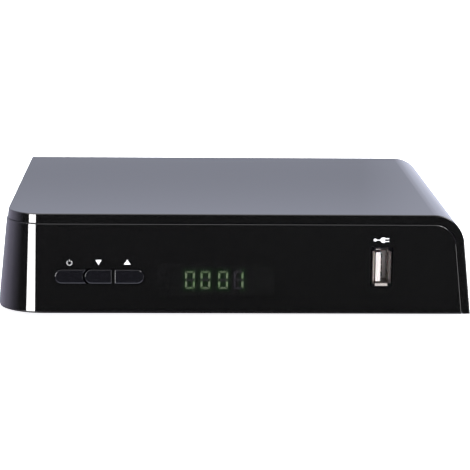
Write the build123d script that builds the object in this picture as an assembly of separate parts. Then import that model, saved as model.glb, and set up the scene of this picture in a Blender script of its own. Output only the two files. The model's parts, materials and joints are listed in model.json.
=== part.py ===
from build123d import *
from math import radians, tan
import os

# A satellite TV receiver: a low set-top box with three push keys, a four-digit display
# and a USB socket in front, and its aerial, video and power sockets behind.
#
# Bench frame used below: X to the right, Y backwards from the fascia's face, Z up from
# the shell's underside. save() moves each piece into the part's own frame, whose origin
# is on the floor under the middle of the whole box. Millimetres throughout.

# ---------------------------------------------------------------- casing
base_width = 176.8  # across the shell at its underside
case_depth = 130.0
case_height = 37.5
side_lean_deg = 6.3  # both side walls lean in towards the top
corner_radius = 17.8  # front left corner, seen from above, at the underside
shoulder_radius = 11.75  # top right shoulder, seen from the front
cover_wall = 2.2
case_wall = 2.0
floor_thickness = 2.0
fascia_thickness = 2.5
seam_drop = 3.45  # height of the cover's rim above the fascia
seam_side = 3.0  # width of the cover's rim beside the fascia
rim_depth = 3.0  # how far the thick rim reaches back from the front
seam_gap = 0.2
fascia_step = 0.35  # how far the fascia stands proud of the cover's rim
lip_height = 0.6  # strip of the bottom case that shows under the fascia
fascia_return = 2.0  # how far the fascia runs along the side past its round corner
cover_edge = 0.5
fascia_edge = 0.42
clip_width = 9.0  # clips that hook the fascia into the floor
clip_length = 9.0
clip_thickness = 1.4
clip_hook = 1.4
clip_clearance = 0.2
clip_pitch = 52.0
clip_count = 3
panel_thickness = 1.6
panel_recess = 0.6
panel_gap = 0.25

# ---------------------------------------------------------------- feet, posts and screws
foot_radius = 6.0
foot_height = 1.8
foot_recess = 0.6
foot_side_inset = 26.0
foot_end_inset = 15.0
post_radius = 3.0
post_side_inset = 12.0
front_post_depth = 23.0
rear_post_inset = 18.0
post_foot = 5.0  # height at which the cover's post meets the bottom case
screw_radius = 1.25
screw_hole_radius = 1.35
screw_head_radius = 2.4
screw_head_height = 1.6
head_seat = 3.0  # height of the head's seat in the counterbore from below
head_clearance = 0.3
recess_width = 0.6  # cross recess in every screw head
recess_depth = 0.9
case_screw_length = 10.0
board_screw_length = 5.0
board_post_radius = 2.9
panel_post_width = 7.0
panel_post_depth = 6.0
panel_screw_height = 8.0
panel_screw_length = 6.0

# ---------------------------------------------------------------- vents
vent_width = 2.2
vent_pitch = 4.6
side_vent_height = 13.0
side_vent_floor = 14.0
side_vent_start = 36.0
side_vent_end_gap = 20.0
floor_vent_length = 26.0
floor_vent_count = 11
floor_vent_rows = 2
floor_vent_row_pitch = 34.0
floor_vent_start = 40.0
rear_vent_height = 4.4
rear_vent_count = 12

# ---------------------------------------------------------------- keys and switches
key_row_inset = 4.5  # from the round corner's end to the power key
key_row_height = 14.1  # middle of the keys
key_height = 5.2
power_key_length = 11.0
down_key_length = 10.0
up_key_length = 10.8
key_nest_gap = 0.66  # between the power key and the down key that it wraps round
key_clearance = 0.18
key_bar = 0.7  # bar of fascia between the down key and the up key
key_proud = 0.7
key_edge = 0.35
key_travel = 0.6
flange_overlap = 0.9
flange_thickness = 1.0
flange_gap = 0.15
stem_width = 2.0
stem_clearance = 0.2
guide_depth = 5.2
guide_thickness = 1.2
guide_height = 8.0
stake_radius = 1.5
stake_pin_radius = 0.8
stake_clearance = 0.05
stake_key_gap = 0.5  # between a stake and the nearest key opening
guide_margin = 0.8  # guide plate beyond its stakes
front_board_depth = 12.5
board_thickness = 1.6
switch_width = 6.0
switch_body_depth = 3.4
switch_cover_thickness = 0.3
plunger_radius = 1.75
plunger_proud = 0.9
plunger_clearance = 0.15
plunger_root = 0.8  # length of the plunger inside the switch at rest

# ---------------------------------------------------------------- display
window_key_gap = 5.14  # between the up key and the window
window_width = 43.5
window_height = 13.0
window_middle = 12.8
window_corner = 1.5
window_clearance = 0.08
window_flange = 1.2
window_flange_thickness = 0.8
display_inset = 20.9  # from the window's left end to the display's middle
display_row_height = 12.3
display_width = 30.2
display_body_height = 10.4
display_body_depth = 6.1
display_gap = 0.1
digit_height = 6.85
digit_width = 3.65
digit_pitch = 5.75
colon_extra = 0.8
segment_thickness = 0.78
segment_gap = 0.2
segment_depth = 0.5
lit_segments = ["abcdef", "abcdef", "abcdef", "bc"]
led_inset = 2.5  # from the window's left end
led_radius = 1.5
led_depth = 6.0
ir_inset = 4.2  # from the window's right end
ir_width = 5.2
ir_height = 6.6
ir_dome_radius = 2.2
lead_radius = 0.25

# ---------------------------------------------------------------- front board
front_board_key_margin = 8.0  # beyond the power key, to the left
front_board_window_margin = 9.0  # beyond the window, to the right
front_board_floor = 3.4
front_board_top = 30.0
front_post_radius = 2.5
front_post_side = 4.5
front_post_low = 6.2
front_post_high = 26.8
link_pin_count = 10
link_pin_pitch = 2.0
link_pin_width = 0.6
link_block_depth = 2.4
link_block_height = 4.0

# ---------------------------------------------------------------- main board
board_floor = 7.8  # underside of the main board
board_side_gap = 16.4
board_front_gap = 17.5
board_rear_gap = 11.5
board_post_inset = 4.5
tab_margin = 12.0  # tongue of the board under the USB socket, left of the socket's middle
tab_front = 3.4

# ---------------------------------------------------------------- USB socket
usb_inset = 33.65  # from the right edge of the shell to the socket's middle
usb_middle = 17.75
usb_width = 5.7
usb_height = 13.1
usb_wall = 0.3
usb_length = 14.0
usb_flare = 0.75
usb_flare_length = 0.9
usb_flare_notch = 1.3
usb_spring_near = 5.0  # windows of the shell's springs, two on each wide side
usb_spring_far = 9.6
usb_spring_height = 2.6
usb_spring_offset = 3.7  # from the socket's middle
usb_spring_slit = 0.5  # open round the spring
usb_spring_bow = 0.3  # less than the gap beside the tongue
usb_setback = 0.2
usb_leg_depths = [4.0, 9.5]
usb_leg_length = 2.0
usb_leg_reach = 0.8  # beyond the underside of the board
usb_cutout_clearance = 0.45
usb_tongue_thickness = 1.84
usb_tongue_height = 11.1
usb_tongue_offset = 0.4
usb_tongue_length = 9.0
usb_contact_spacing = [-3.5, -1.0, 1.0, 3.5]
usb_contact_width = 1.0
usb_contact_bow = 0.9
usb_contact_pit = 1.5  # depth of the pits behind the contacts

# ---------------------------------------------------------------- tuner and its threaded sockets
tuner_width = 34.0
tuner_depth = 34.0
tuner_height = 14.0
tuner_wall = 0.6
lnb_spacing = 20.0
lnb_radius = 4.7625  # 3/8 inch thread, major radius
lnb_reach = 10.2  # beyond the back of the shell
lnb_bevel = 0.5
lnb_undercut = 0.35  # the plain shank under the nut is thinner than the thread by this
lnb_bore_radius = 3.4
lnb_pin_hole_radius = 0.6
lnb_nut_radius = 6.35  # across the corners of an 11 mm hexagon
lnb_nut_height = 2.2
hole_clearance = 0.3

# ---------------------------------------------------------------- other sockets behind
video_width = 15.0
video_height = 5.6
video_wall = 0.4
video_length = 11.0
video_tongue_width = 10.6
video_tongue_height = 1.0
socket_proud = 0.8
scart_width = 47.0
scart_height = 15.6
scart_length = 17.0
scart_groove = 1.4
scart_groove_depth = 8.0
scart_frame = 1.2
scart_slit_width = 0.9
scart_slit_height = 3.4
scart_slit_pitch = 3.8
scart_slit_count = 10
scart_slit_depth = 6.0
audio_block_width = 10.0
audio_block_height = 12.5
audio_block_depth = 12.0
audio_sleeve_radius = 4.15
audio_sleeve_length = 8.5
audio_sleeve_bore = 3.5
audio_shank_radius = 3.9  # thinner shank where the sleeve passes the rear panel
audio_pin_bore = 1.6
eye_jack_width = 7.0
eye_jack_height = 8.0
eye_jack_nose = 2.8
eye_jack_bore = 1.8
eye_jack_bore_length = 11.0
power_block_width = 9.0
power_block_height = 11.0
power_block_depth = 14.0
power_bore_radius = 3.1
power_bore_length = 9.5
power_pin_radius = 1.05

# ---------------------------------------------------------------- card reader
reader_back_gap = 18.5  # from the board's back edge
reader_width = 58.0
reader_length = 50.0
reader_height = 5.0
reader_wall_gap = 0.4
card_slot_width = 55.0
card_slot_height = 1.3
card_slot_rise = 1.9  # underside of the slot above the board
card_mouth_margin = 0.8
card_contact_width = 1.6
card_contact_rows = 2
card_contact_columns = 4
card_contact_pitch = 2.54
card_contact_row_pitch = 7.6
card_contact_inset = 18.0

# ---------------------------------------------------------------- parts on the main board
# each place is the distances from the board's right edge and from its back edge
processor_place = (80.0, 56.5)
processor_size = 23.0
processor_height = 1.8
heatsink_size = 25.0
heatsink_base = 1.6
heatsink_height = 9.0
fin_count = 8
fin_thickness = 0.9
chip_height = 1.1
memory_size = (13.0, 8.0)
memory_offset = 24.0
memory_spacing = 12.0
flash_size = (5.3, 5.3)
flash_offset = 26.0
capacitor_radius = 4.0
capacitor_height = 12.0
capacitor_places = [(32.0, 12.5), (21.5, 12.5), (11.0, 12.5), (79.5, 19.5), (69.5, 19.5)]
inductor_size = 7.0
inductor_height = 3.6
inductor_places = [(60.0, 23.5), (50.0, 23.5), (60.0, 34.5)]
crystal_length = 11.0
crystal_width = 4.5
crystal_height = 3.4
regulator_size = (6.5, 6.1)
regulator_height = 2.3
regulator_places = [(50.0, 36.5), (50.0, 46.5)]

# ---------------------------------------------------------------- worked out from the sizes above
half_base = base_width / 2
lean = tan(radians(side_lean_deg))
spare = 40.0  # how far a cutter runs past what it cuts
panel_outer = case_depth - panel_recess
panel_inner = panel_outer - panel_thickness
cover_ceiling = case_height - cover_wall
fascia_floor = lip_height + seam_gap / 2
return_end = corner_radius + fascia_return
overall_depth = key_proud + case_depth + lnb_reach
face_y = key_proud - overall_depth / 2
board_top = board_floor + board_thickness
board_left = -half_base + board_side_gap
board_right = half_base - board_side_gap
board_back = case_depth - board_rear_gap
processor_x = board_right - processor_place[0]
processor_y = board_back - processor_place[1]
key_row_left = -half_base + corner_radius + key_row_inset
key_round = key_height / 2
down_key_left = key_row_left + power_key_length
up_key_left = down_key_left + down_key_length + key_bar + 2 * key_clearance
power_key_right = down_key_left - key_nest_gap
key_spans = {
    "power": (key_row_left, power_key_right),
    "down": (down_key_left, down_key_left + down_key_length),
    "up": (up_key_left, up_key_left + up_key_length),
}
window_left = key_spans["up"][1] + window_key_gap
window_right = window_left + window_width
display_middle = window_left + display_inset
led_x = window_left + led_inset
ir_x = window_right - ir_inset
front_board_left = key_row_left - front_board_key_margin
front_board_right = window_right + front_board_window_margin
link_x = display_middle
flange_depth = fascia_thickness + flange_gap
switch_front = front_board_depth - switch_body_depth
plunger_front = switch_front - plunger_proud
display_front = fascia_thickness + window_flange_thickness + display_gap
usb_x = half_base - usb_inset
tab_left = usb_x - tab_margin
lnb_tip = case_depth + lnb_reach
lnb_height = board_top + tuner_height / 2
lnb_shank_radius = lnb_radius - lnb_undercut
socket_face = panel_outer + socket_proud
reader_front = board_back - reader_back_gap - reader_width
rear_row = {
    "tuner": tuner_width,
    "scart": scart_width,
    "video": video_width,
    "audio": audio_block_width,
    "eye": eye_jack_width,
    "power": power_block_width,
}


def rear_middle(name):
    """X of one socket's middle; the row along the board's back edge has equal gaps."""
    names = list(rear_row)
    before = names[:names.index(name)]
    gap = (board_right - board_left - sum(rear_row.values())) / (len(names) + 1)
    left = board_left + gap + sum(rear_row[other] + gap for other in before)
    return left + rear_row[name] / 2


tuner_left = rear_middle("tuner") - tuner_width / 2
lnb_middle = rear_middle("tuner")
scart_x = rear_middle("scart")
video_x = rear_middle("video")
audio_x = rear_middle("audio")
eye_jack_x = rear_middle("eye")
power_x = rear_middle("power")


def side_x(height):
    """Half width of the shell at a height above its underside."""
    return half_base - height * lean


def block(x_span, y_span, z_span):
    """Box between two values on each axis."""
    middle = [(low + high) / 2 for low, high in (x_span, y_span, z_span)]
    sizes = [high - low for low, high in (x_span, y_span, z_span)]
    return Pos(*middle) * Box(*sizes)


def upright(x, y, radius, low, high):
    """Round bar along Z."""
    return Pos(x, y, (low + high) / 2) * Cylinder(radius, high - low)


def lengthwise(x, height, radius, near, far):
    """Round bar along Y."""
    return Pos(x, (near + far) / 2, height) * Rot(90, 0, 0) * Cylinder(radius, far - near)


def along_y(sketch, near, far):
    """Prism between two depths, from a sketch of X and height."""
    plane = Plane(origin=(0, far, 0), x_dir=(1, 0, 0), z_dir=(0, -1, 0))
    return extrude(plane * sketch, amount=far - near)


def plan_face(inset, height, back):
    """Section of the front and left walls at one height; its right side is cut later."""
    left = inset - side_x(height)
    radius = corner_radius - height * lean - inset
    right = half_base + spare
    walls = Polyline(
        (left + radius, inset),
        (right, inset),
        (right, back),
        (left, back),
        (left, inset + radius),
    )
    corner = CenterArc((left + radius, inset + radius), radius, 180, 90)
    return Pos(0, 0, height) * make_face(walls.edges() + corner.edges())


def front_block(inset, low, high, back):
    """Solid inside the front and left walls, set in by a distance."""
    return loft([plan_face(inset, low, back), plan_face(inset, high, back)], ruled=True)


def arch_sketch(drop, side_inset, low=-1.0):
    """Outline in X and height under the cover's top and round its right shoulder."""
    top = case_height - drop
    outline = Polyline(
        (-half_base - spare, low),
        (side_x(low) - side_inset, low),
        (side_x(top) - side_inset, top),
        (-half_base - spare, top),
        close=True,
    )
    sketch = make_face(outline.edges())
    shoulder = sketch.vertices().sort_by(lambda vertex: vertex.X + vertex.Y)[-1]
    return fillet(shoulder, shoulder_radius - (drop + side_inset) / 2)


def arch(drop, side_inset, near, far):
    """Prism of the arch outline between two depths."""
    return along_y(arch_sketch(drop, side_inset), near, far)


def post_places():
    """Places of the four posts that tie the cover to the bottom case."""
    side = half_base - post_side_inset
    depths = (front_post_depth, case_depth - rear_post_inset)
    return [(sign * side, depth) for depth in depths for sign in (-1, 1)]


def foot_places():
    """Places of the four feet."""
    side = half_base - foot_side_inset
    depths = (foot_end_inset, case_depth - foot_end_inset)
    return [(sign * side, depth) for depth in depths for sign in (-1, 1)]


def board_screw_places():
    """Places of the main board's screws, near its corners."""
    left = board_left + board_post_inset
    right = board_right - board_post_inset
    near = board_front_gap + board_post_inset
    beside_tuner = panel_inner - tuner_depth - board_post_inset
    beside_power = socket_face - power_block_depth - board_post_inset
    return [(left, near), (right, near), (left, beside_tuner), (right, beside_power)]


def panel_screw_places():
    """X places of the rear panel's screws."""
    side = side_x(panel_screw_height) - case_wall - panel_post_width
    return [-side, side]


def front_post_places():
    """Places in X and height of the posts that carry the front board."""
    left = front_board_left + front_post_side
    right = front_board_right - front_post_side
    return [(x, height) for x in (left, right) for height in (front_post_low, front_post_high)]


def save(name, shape):
    """Move a piece to the part's own frame and write its file."""
    placed = Pos(0, face_y, foot_height) * shape
    export_step(placed, f"parts/{name}.step")


def make_screw(length):
    """Pan-head screw with a cross recess; its head is below its seat at Z 0, its tip up."""
    head = upright(0, 0, screw_head_radius, -screw_head_height, 0)
    head = chamfer(head.edges().sort_by(Axis.Z)[0], screw_head_height / 3)
    shank = upright(0, 0, screw_radius, 0, length)
    reach = screw_head_radius * 0.6
    floor = -screw_head_height - 1
    top = -screw_head_height + recess_depth
    half_slot = recess_width / 2
    slot_x = block((-reach, reach), (-half_slot, half_slot), (floor, top))
    slot_y = block((-half_slot, half_slot), (-reach, reach), (floor, top))
    return head + shank - slot_x - slot_y


# ---------------------------------------------------------------- casing pieces


def make_top_cover():
    """Gloss cover: top plate, front and left rims, right shoulder and right wall."""
    outer = front_block(fascia_step, 0, case_height, case_depth) & arch(0, 0, -1, case_depth + 1)
    rim_edges = outer.edges().filter_by(lambda edge: on_front_or_top_left(edge))
    outer = fillet(rim_edges, cover_edge)
    under_rim = arch(seam_drop, seam_side, -spare, case_depth + spare)
    hollow = arch(cover_wall, cover_wall, rim_depth, case_depth + spare)
    hollow &= front_block(case_wall, -2, case_height, case_depth + spare)
    cover = outer - under_rim - hollow
    for x, y in post_places():
        post = upright(x, y, post_radius, post_foot, case_height - cover_wall / 2)
        post &= arch(cover_wall / 2, cover_wall / 2, 0, case_depth)
        cover += post
    for x, y in post_places():
        cover -= upright(x, y, screw_hole_radius, post_foot - 1, head_seat + case_screw_length + 1)
    return cover - card_mouth()


def on_front_or_top_left(edge):
    """True for the outer edges round the cover's face and along its top left side."""
    middle = edge.position_at(0.5)
    near_face = abs(middle.Y - fascia_step) < 0.01 and middle.Z > 0.01
    on_top = abs(middle.Z - case_height) < 0.01
    left_of_face = middle.X < corner_radius - half_base
    above = near_face and (on_top or middle.X > corner_radius - half_base + 1)
    return above or (on_top and left_of_face)


def card_mouth():
    """Slot in the cover's right wall for the smart card."""
    middle = reader_front + reader_width / 2
    half = card_slot_width / 2 + card_mouth_margin
    low = board_top + card_slot_rise - card_mouth_margin
    high = board_top + card_slot_rise + card_slot_height + card_mouth_margin
    return block((half_base - spare / 2, half_base + 1), (middle - half, middle + half), (low, high))


def make_front_fascia():
    """Front plate that wraps the round left corner, with its openings, posts and stakes."""
    outer = front_block(0, fascia_floor, case_height, return_end)
    outer &= arch(seam_drop + seam_gap, seam_side + seam_gap, -1, return_end + 1)
    outer = fillet(outer.edges().filter_by(lambda edge: on_fascia_rim(edge)), fascia_edge)
    inner = front_block(fascia_thickness, -1, case_height + 1, return_end + 1)
    plate = outer - inner
    plate -= key_openings()
    plate -= along_y(window_sketch(window_clearance), -1, fascia_thickness + 1)
    half_width = usb_width / 2 + usb_flare + usb_cutout_clearance
    half_height = usb_height / 2 + usb_flare + usb_cutout_clearance
    slot = Pos(usb_x, usb_middle) * RectangleRounded(2 * half_width, 2 * half_height, 0.6)
    plate -= along_y(slot, -1, fascia_thickness + 1)
    for x, height in front_post_places():
        plate += lengthwise(x, height, front_post_radius, fascia_thickness / 2, front_board_depth)
        plate -= lengthwise(x, height, screw_hole_radius, fascia_thickness + 2, front_board_depth + 1)
    for x in clip_places():
        plate += clip(x, 0)
    for x in stake_places():
        plate += lengthwise(x, key_row_height, stake_radius, fascia_thickness / 2, guide_depth)
        tip = guide_depth + guide_thickness
        plate += lengthwise(x, key_row_height, stake_pin_radius, guide_depth - 1, tip)
    return plate


def on_fascia_rim(edge):
    """True for the outer edges along the fascia's top and right side."""
    middle = edge.position_at(0.5)
    in_front = abs(middle.Y) < 0.01 and middle.X > corner_radius - half_base
    return in_front and middle.Z > fascia_floor + 0.01


def clip_places():
    """X of the clips along the fascia's lower edge."""
    return [(number - (clip_count - 1) / 2) * clip_pitch for number in range(clip_count)]


def clip(x, grow):
    """Tongue on the floor behind the fascia, with a hook that points down; grow for its cutter."""
    half = clip_width / 2 + grow
    top = floor_thickness + clip_thickness
    tongue = block((x - half, x + half), (fascia_thickness / 2, clip_length), (floor_thickness, top))
    near = clip_length - clip_hook - grow
    span_z = (floor_thickness - clip_hook - grow, top)
    return tongue + block((x - half, x + half), (near, clip_length + grow), span_z)


def make_bottom_case():
    """Floor tray with its lip under the fascia, left wall, posts and vents."""
    right_inset = cover_wall + seam_gap
    tray = front_block(fascia_step, 0, floor_thickness, case_depth)
    tray &= arch(0, right_inset, -1, case_depth + 1)
    step = front_block(0, lip_height, floor_thickness + 1, return_end + seam_gap)
    step -= front_block(fascia_thickness + seam_gap, 0, floor_thickness + 2, return_end + 1)
    tray -= step & block((-half_base, half_base + 1), (-1, return_end + seam_gap), (0, case_height))
    rim_zone = block((0, half_base + spare), (-1, rim_depth + seam_gap), (-1, case_height))
    tray -= rim_zone - arch(0, seam_side + seam_gap, -2, case_depth)
    for x in clip_places():
        tray -= clip(x, clip_clearance)
    tray += left_wall()
    for x, y in board_screw_places():
        tray += upright(x, y, board_post_radius, floor_thickness / 2, board_floor)
        tray -= upright(x, y, screw_hole_radius, floor_thickness, board_floor + 1)
    for x, y in post_places():
        tray += upright(x, y, post_radius + 1, floor_thickness / 2, post_foot)
        tray -= upright(x, y, screw_head_radius + head_clearance, -1, head_seat)
        tray -= upright(x, y, screw_hole_radius, 0, post_foot + 1)
    for x, y in foot_places():
        tray -= upright(x, y, foot_radius, -1, foot_recess)
    for x in panel_screw_places():
        half = panel_post_width / 2
        near = panel_inner - panel_post_depth
        top = panel_screw_height + half
        tray += block((x - half, x + half), (near, panel_inner), (floor_thickness / 2, top))
        tray -= lengthwise(x, panel_screw_height, screw_hole_radius, near - 1, panel_inner + 1)
    return tray - floor_vents()


def left_wall():
    """Left side wall of the bottom case, from the fascia's return to the back."""
    top = case_height - seam_drop - seam_gap
    wall = front_block(0, 0, top, case_depth) - front_block(case_wall, -1, top + 1, case_depth + 1)
    wall &= block((-half_base - 1, 0), (return_end + seam_gap, case_depth), (0, case_height))
    count = int((case_depth - side_vent_end_gap - side_vent_start) / vent_pitch)
    for number in range(count):
        start = side_vent_start + number * vent_pitch
        span_y = (start, start + vent_width)
        wall -= block((-half_base - 1, 0), span_y, (side_vent_floor, side_vent_floor + side_vent_height))
    return wall


def floor_vents():
    """Rows of slots in the floor under the main board."""
    slots = []
    for row in range(floor_vent_rows):
        near = floor_vent_start + row * floor_vent_row_pitch
        for number in range(floor_vent_count):
            middle = (number - (floor_vent_count - 1) / 2) * vent_pitch
            span_x = (middle - vent_width / 2, middle + vent_width / 2)
            slots.append(block(span_x, (near, near + floor_vent_length), (-1, floor_thickness + 1)))
    return Part() + slots


def make_rear_panel():
    """Rear plate with an opening for every socket."""
    low = floor_thickness + panel_gap
    panel = front_block(case_wall + panel_gap, low, cover_ceiling - panel_gap, case_depth)
    panel &= arch(cover_wall + panel_gap, cover_wall + panel_gap, panel_inner, panel_outer)
    openings = [
        socket_opening(video_x, video_width, video_height),
        socket_opening(scart_x, scart_width, scart_height),
        socket_opening(power_x, power_block_width, power_block_height),
    ]
    for x in lnb_places():
        openings.append(panel_hole(x, lnb_height, lnb_radius))
    openings.append(panel_hole(audio_x, audio_height(), audio_sleeve_radius))
    openings.append(panel_hole(eye_jack_x, eye_jack_middle(), eye_jack_nose))
    for x in panel_screw_places():
        openings.append(panel_hole(x, panel_screw_height, screw_radius))
    for number in range(rear_vent_count):
        right = side_x(case_height) - shoulder_radius - number * vent_pitch
        top = cover_ceiling - 2 * cover_wall
        span_x = (right - vent_width, right)
        openings.append(block(span_x, (panel_inner - 1, panel_outer + 1), (top - rear_vent_height, top)))
    return panel - openings


def socket_opening(x, width, height):
    """Cutter for a socket that stands on the main board."""
    half = width / 2 + hole_clearance
    span_z = (board_top - hole_clearance, board_top + height + hole_clearance)
    return block((x - half, x + half), (panel_inner - 1, panel_outer + 1), span_z)


def panel_hole(x, height, radius):
    """Cutter for a round socket in the rear panel."""
    return lengthwise(x, height, radius + hole_clearance, panel_inner - 1, panel_outer + 1)


def make_feet():
    """Four rubber feet in their recesses."""
    feet = []
    for x, y in foot_places():
        foot = upright(x, y, foot_radius, -foot_height, foot_recess)
        feet.append(fillet(foot.edges().sort_by(Axis.Z)[0], foot_height / 3))
    return Part() + feet


def make_case_screws():
    """Screws driven from below into the cover's posts."""
    screw = make_screw(case_screw_length)
    return Part() + [Pos(x, y, head_seat) * screw for x, y in post_places()]


def make_panel_screws():
    """Screws that hold the rear panel to the bottom case."""
    screw = Rot(90, 0, 0) * make_screw(panel_screw_length)
    return Part() + [Pos(x, panel_outer, panel_screw_height) * screw for x in panel_screw_places()]


# ---------------------------------------------------------------- keys


def key_outline(name, grow=0.0):
    """Outline of a key in X and height: round outer ends, and a nest between two keys."""
    left, right = key_spans[name]
    tall = key_height + 2 * grow
    flat_left = left + key_round if name != "up" else left - grow
    flat_right = right - key_round if name == "up" else right + grow
    if name == "power":
        flat_right = down_key_left + key_round
    middle = (flat_left + flat_right) / 2
    outline = Pos(middle, key_row_height) * Rectangle(flat_right - flat_left, tall)
    if name != "up":
        outline += Pos(flat_left, key_row_height) * Circle(key_round + grow)
    if name == "up":
        outline += Pos(flat_right, key_row_height) * Circle(key_round + grow)
    if name == "power":
        nest = down_key_left + key_round
        outline -= Pos(nest, key_row_height) * Circle(key_round + key_nest_gap)
    return outline


def key_openings():
    """Cutters for the shared opening of the nested keys and for the up key."""
    left = key_row_left + key_round
    right = key_spans["down"][1] + key_clearance
    tall = key_height + 2 * key_clearance
    nested = Pos((left + right) / 2, key_row_height) * Rectangle(right - left, tall)
    nested += Pos(left, key_row_height) * Circle(key_round + key_clearance)
    both = nested + key_outline("up", key_clearance)
    return along_y(both, -1, fascia_thickness + 1)


def key_middle(name):
    """X of a key's stem."""
    left, right = key_spans[name]
    return (left + right) / 2


def make_key(name):
    """Key cap with a flange behind the fascia and a stem to its switch."""
    cap = along_y(key_outline(name), -key_proud, flange_depth)
    face_edges = cap.edges().filter_by(lambda edge: abs(edge.position_at(0.5).Y + key_proud) < 0.01)
    cap = fillet(face_edges, key_edge)
    left, right = key_spans[name]
    span_x = (left + key_round, right - key_round)
    half = key_round + flange_overlap
    span_z = (key_row_height - half, key_row_height + half)
    flange = block(span_x, (flange_depth, flange_depth + flange_thickness), span_z)
    x = key_middle(name)
    half = stem_width / 2
    span_z = (key_row_height - half, key_row_height + half)
    stem = block((x - half, x + half), (flange_depth, plunger_front), span_z)
    return cap + flange + stem


def stake_places():
    """X of the fascia's two stakes that hold the key guide."""
    reach = key_clearance + stake_key_gap + stake_radius
    return [key_row_left - reach, key_spans["up"][1] + reach]


def make_key_guide():
    """Plate behind the fascia with a square hole for every key stem."""
    left, right = stake_places()
    reach = stake_radius + guide_margin
    span_x = (left - reach, right + reach)
    span_y = (guide_depth, guide_depth + guide_thickness)
    span_z = (key_row_height - guide_height / 2, key_row_height + guide_height / 2)
    plate = block(span_x, span_y, span_z)
    half = stem_width / 2 + stem_clearance
    for name in key_spans:
        x = key_middle(name)
        hole_z = (key_row_height - half, key_row_height + half)
        plate -= block((x - half, x + half), (0, front_board_depth), hole_z)
    for x in stake_places():
        plate -= lengthwise(x, key_row_height, stake_pin_radius + stake_clearance, 0, front_board_depth)
    return plate


def make_switch_bodies():
    """Bodies of the three switches, hollow round their plungers."""
    bodies = []
    half = switch_width / 2
    room = plunger_root + key_travel + 0.2
    for name in key_spans:
        x = key_middle(name)
        span_z = (key_row_height - half, key_row_height + half)
        near = switch_front + switch_cover_thickness
        body = block((x - half, x + half), (near, front_board_depth), span_z)
        hole = plunger_radius + plunger_clearance
        bodies.append(body - lengthwise(x, key_row_height, hole, 0, switch_front + room))
    return Part() + bodies


def make_switch_covers():
    """Sheet metal covers of the three switches."""
    covers = []
    half = switch_width / 2
    for name in key_spans:
        x = key_middle(name)
        span_y = (switch_front, switch_front + switch_cover_thickness)
        cover = block((x - half, x + half), span_y, (key_row_height - half, key_row_height + half))
        hole = plunger_radius + plunger_clearance
        covers.append(cover - lengthwise(x, key_row_height, hole, 0, front_board_depth))
    return Part() + covers


def make_plunger(name):
    """Round plunger that the key's stem pushes into its switch."""
    far = switch_front + plunger_root
    return lengthwise(key_middle(name), key_row_height, plunger_radius, plunger_front, far)


# ---------------------------------------------------------------- display and front board


def window_sketch(grow):
    """Outline of the display window in X and height."""
    middle = window_left + window_width / 2
    wide = window_width + 2 * grow
    tall = window_height + 2 * grow
    return Pos(middle, window_middle) * RectangleRounded(wide, tall, window_corner + grow)


def make_display_window():
    """Smoked window, flush with the fascia, with a flange behind it."""
    window = along_y(window_sketch(0), 0, fascia_thickness)
    return window + along_y(window_sketch(window_flange), fascia_thickness, display_front - display_gap)


def digit_places():
    """X of the middle of each digit."""
    places = []
    for number in range(4):
        side = 1 if number > 1 else -1
        places.append(display_middle + (number - 1.5) * digit_pitch + side * colon_extra / 2)
    return places


def segment_sketch(letter):
    """Mitred bar for one of the seven segments, about the digit's middle."""
    wide = digit_width / 2
    tall = digit_height / 2
    thick = segment_thickness
    gap = segment_gap
    if letter in "ad":
        half_outer = wide - gap
        half_inner = wide - thick - gap
        corners = [
            (-half_outer, tall),
            (half_outer, tall),
            (half_inner, tall - thick),
            (-half_inner, tall - thick),
        ]
    elif letter == "g":
        half_outer = wide - thick / 2 - gap
        half_inner = wide - thick - gap
        corners = [
            (-half_outer, 0),
            (-half_inner, thick / 2),
            (half_inner, thick / 2),
            (half_outer, 0),
            (half_inner, -thick / 2),
            (-half_inner, -thick / 2),
        ]
    else:
        corners = [
            (wide, tall - gap),
            (wide, gap),
            (wide - thick / 2, gap),
            (wide - thick, thick / 2 + gap),
            (wide - thick, tall - thick - gap),
        ]
    side = -1 if letter in "ef" else 1
    rise = -1 if letter in "cde" else 1
    outline = Polyline(*[(side * x, rise * height) for x, height in corners], close=True)
    return make_face(outline.edges())


def make_segments(lit):
    """All lit or all unlit segments of the four digits."""
    bars = []
    for x, letters in zip(digit_places(), lit_segments):
        for letter in "abcdefg":
            if (letter in letters) == lit:
                bar = Pos(x, display_row_height) * segment_sketch(letter)
                bars.append(along_y(bar, display_front, display_front + segment_depth))
    return Part() + bars


def make_display_housing():
    """Block of the four-digit display, with pockets for its segments."""
    half_width = display_width / 2
    half_height = display_body_height / 2
    span_x = (display_middle - half_width, display_middle + half_width)
    span_y = (display_front, display_front + display_body_depth)
    span_z = (display_row_height - half_height, display_row_height + half_height)
    return block(span_x, span_y, span_z) - make_segments(True) - make_segments(False)


def make_display_holder():
    """Spacer frame that carries the display on the front board."""
    half_width = display_width / 2
    half_height = display_body_height / 2
    span_x = (display_middle - half_width, display_middle + half_width)
    span_y = (display_front + display_body_depth, front_board_depth)
    span_z = (display_row_height - half_height, display_row_height + half_height)
    frame = block(span_x, span_y, span_z)
    wall = case_wall
    inner_x = (span_x[0] + wall, span_x[1] - wall)
    return frame - block(inner_x, span_y, (span_z[0] + wall, span_z[1] - wall))


def make_ir_receiver():
    """Infrared receiver: moulded block with a dome towards the window, and three leads."""
    near = led_depth + ir_dome_radius
    half = ir_width / 2
    span_z = (display_row_height - ir_height / 2, display_row_height + ir_height / 2)
    body = block((ir_x - half, ir_x + half), (near, near + ir_dome_radius), span_z)
    dome = Pos(ir_x, near, display_row_height) * Sphere(ir_dome_radius)
    body += dome & block((ir_x - half, ir_x + half), (0, near), span_z)
    far = front_board_depth + board_thickness
    for number in (-1, 0, 1):
        x = ir_x + number * ir_width / 3
        body += lengthwise(x, display_row_height, lead_radius, near + 1, far)
    return body


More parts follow.
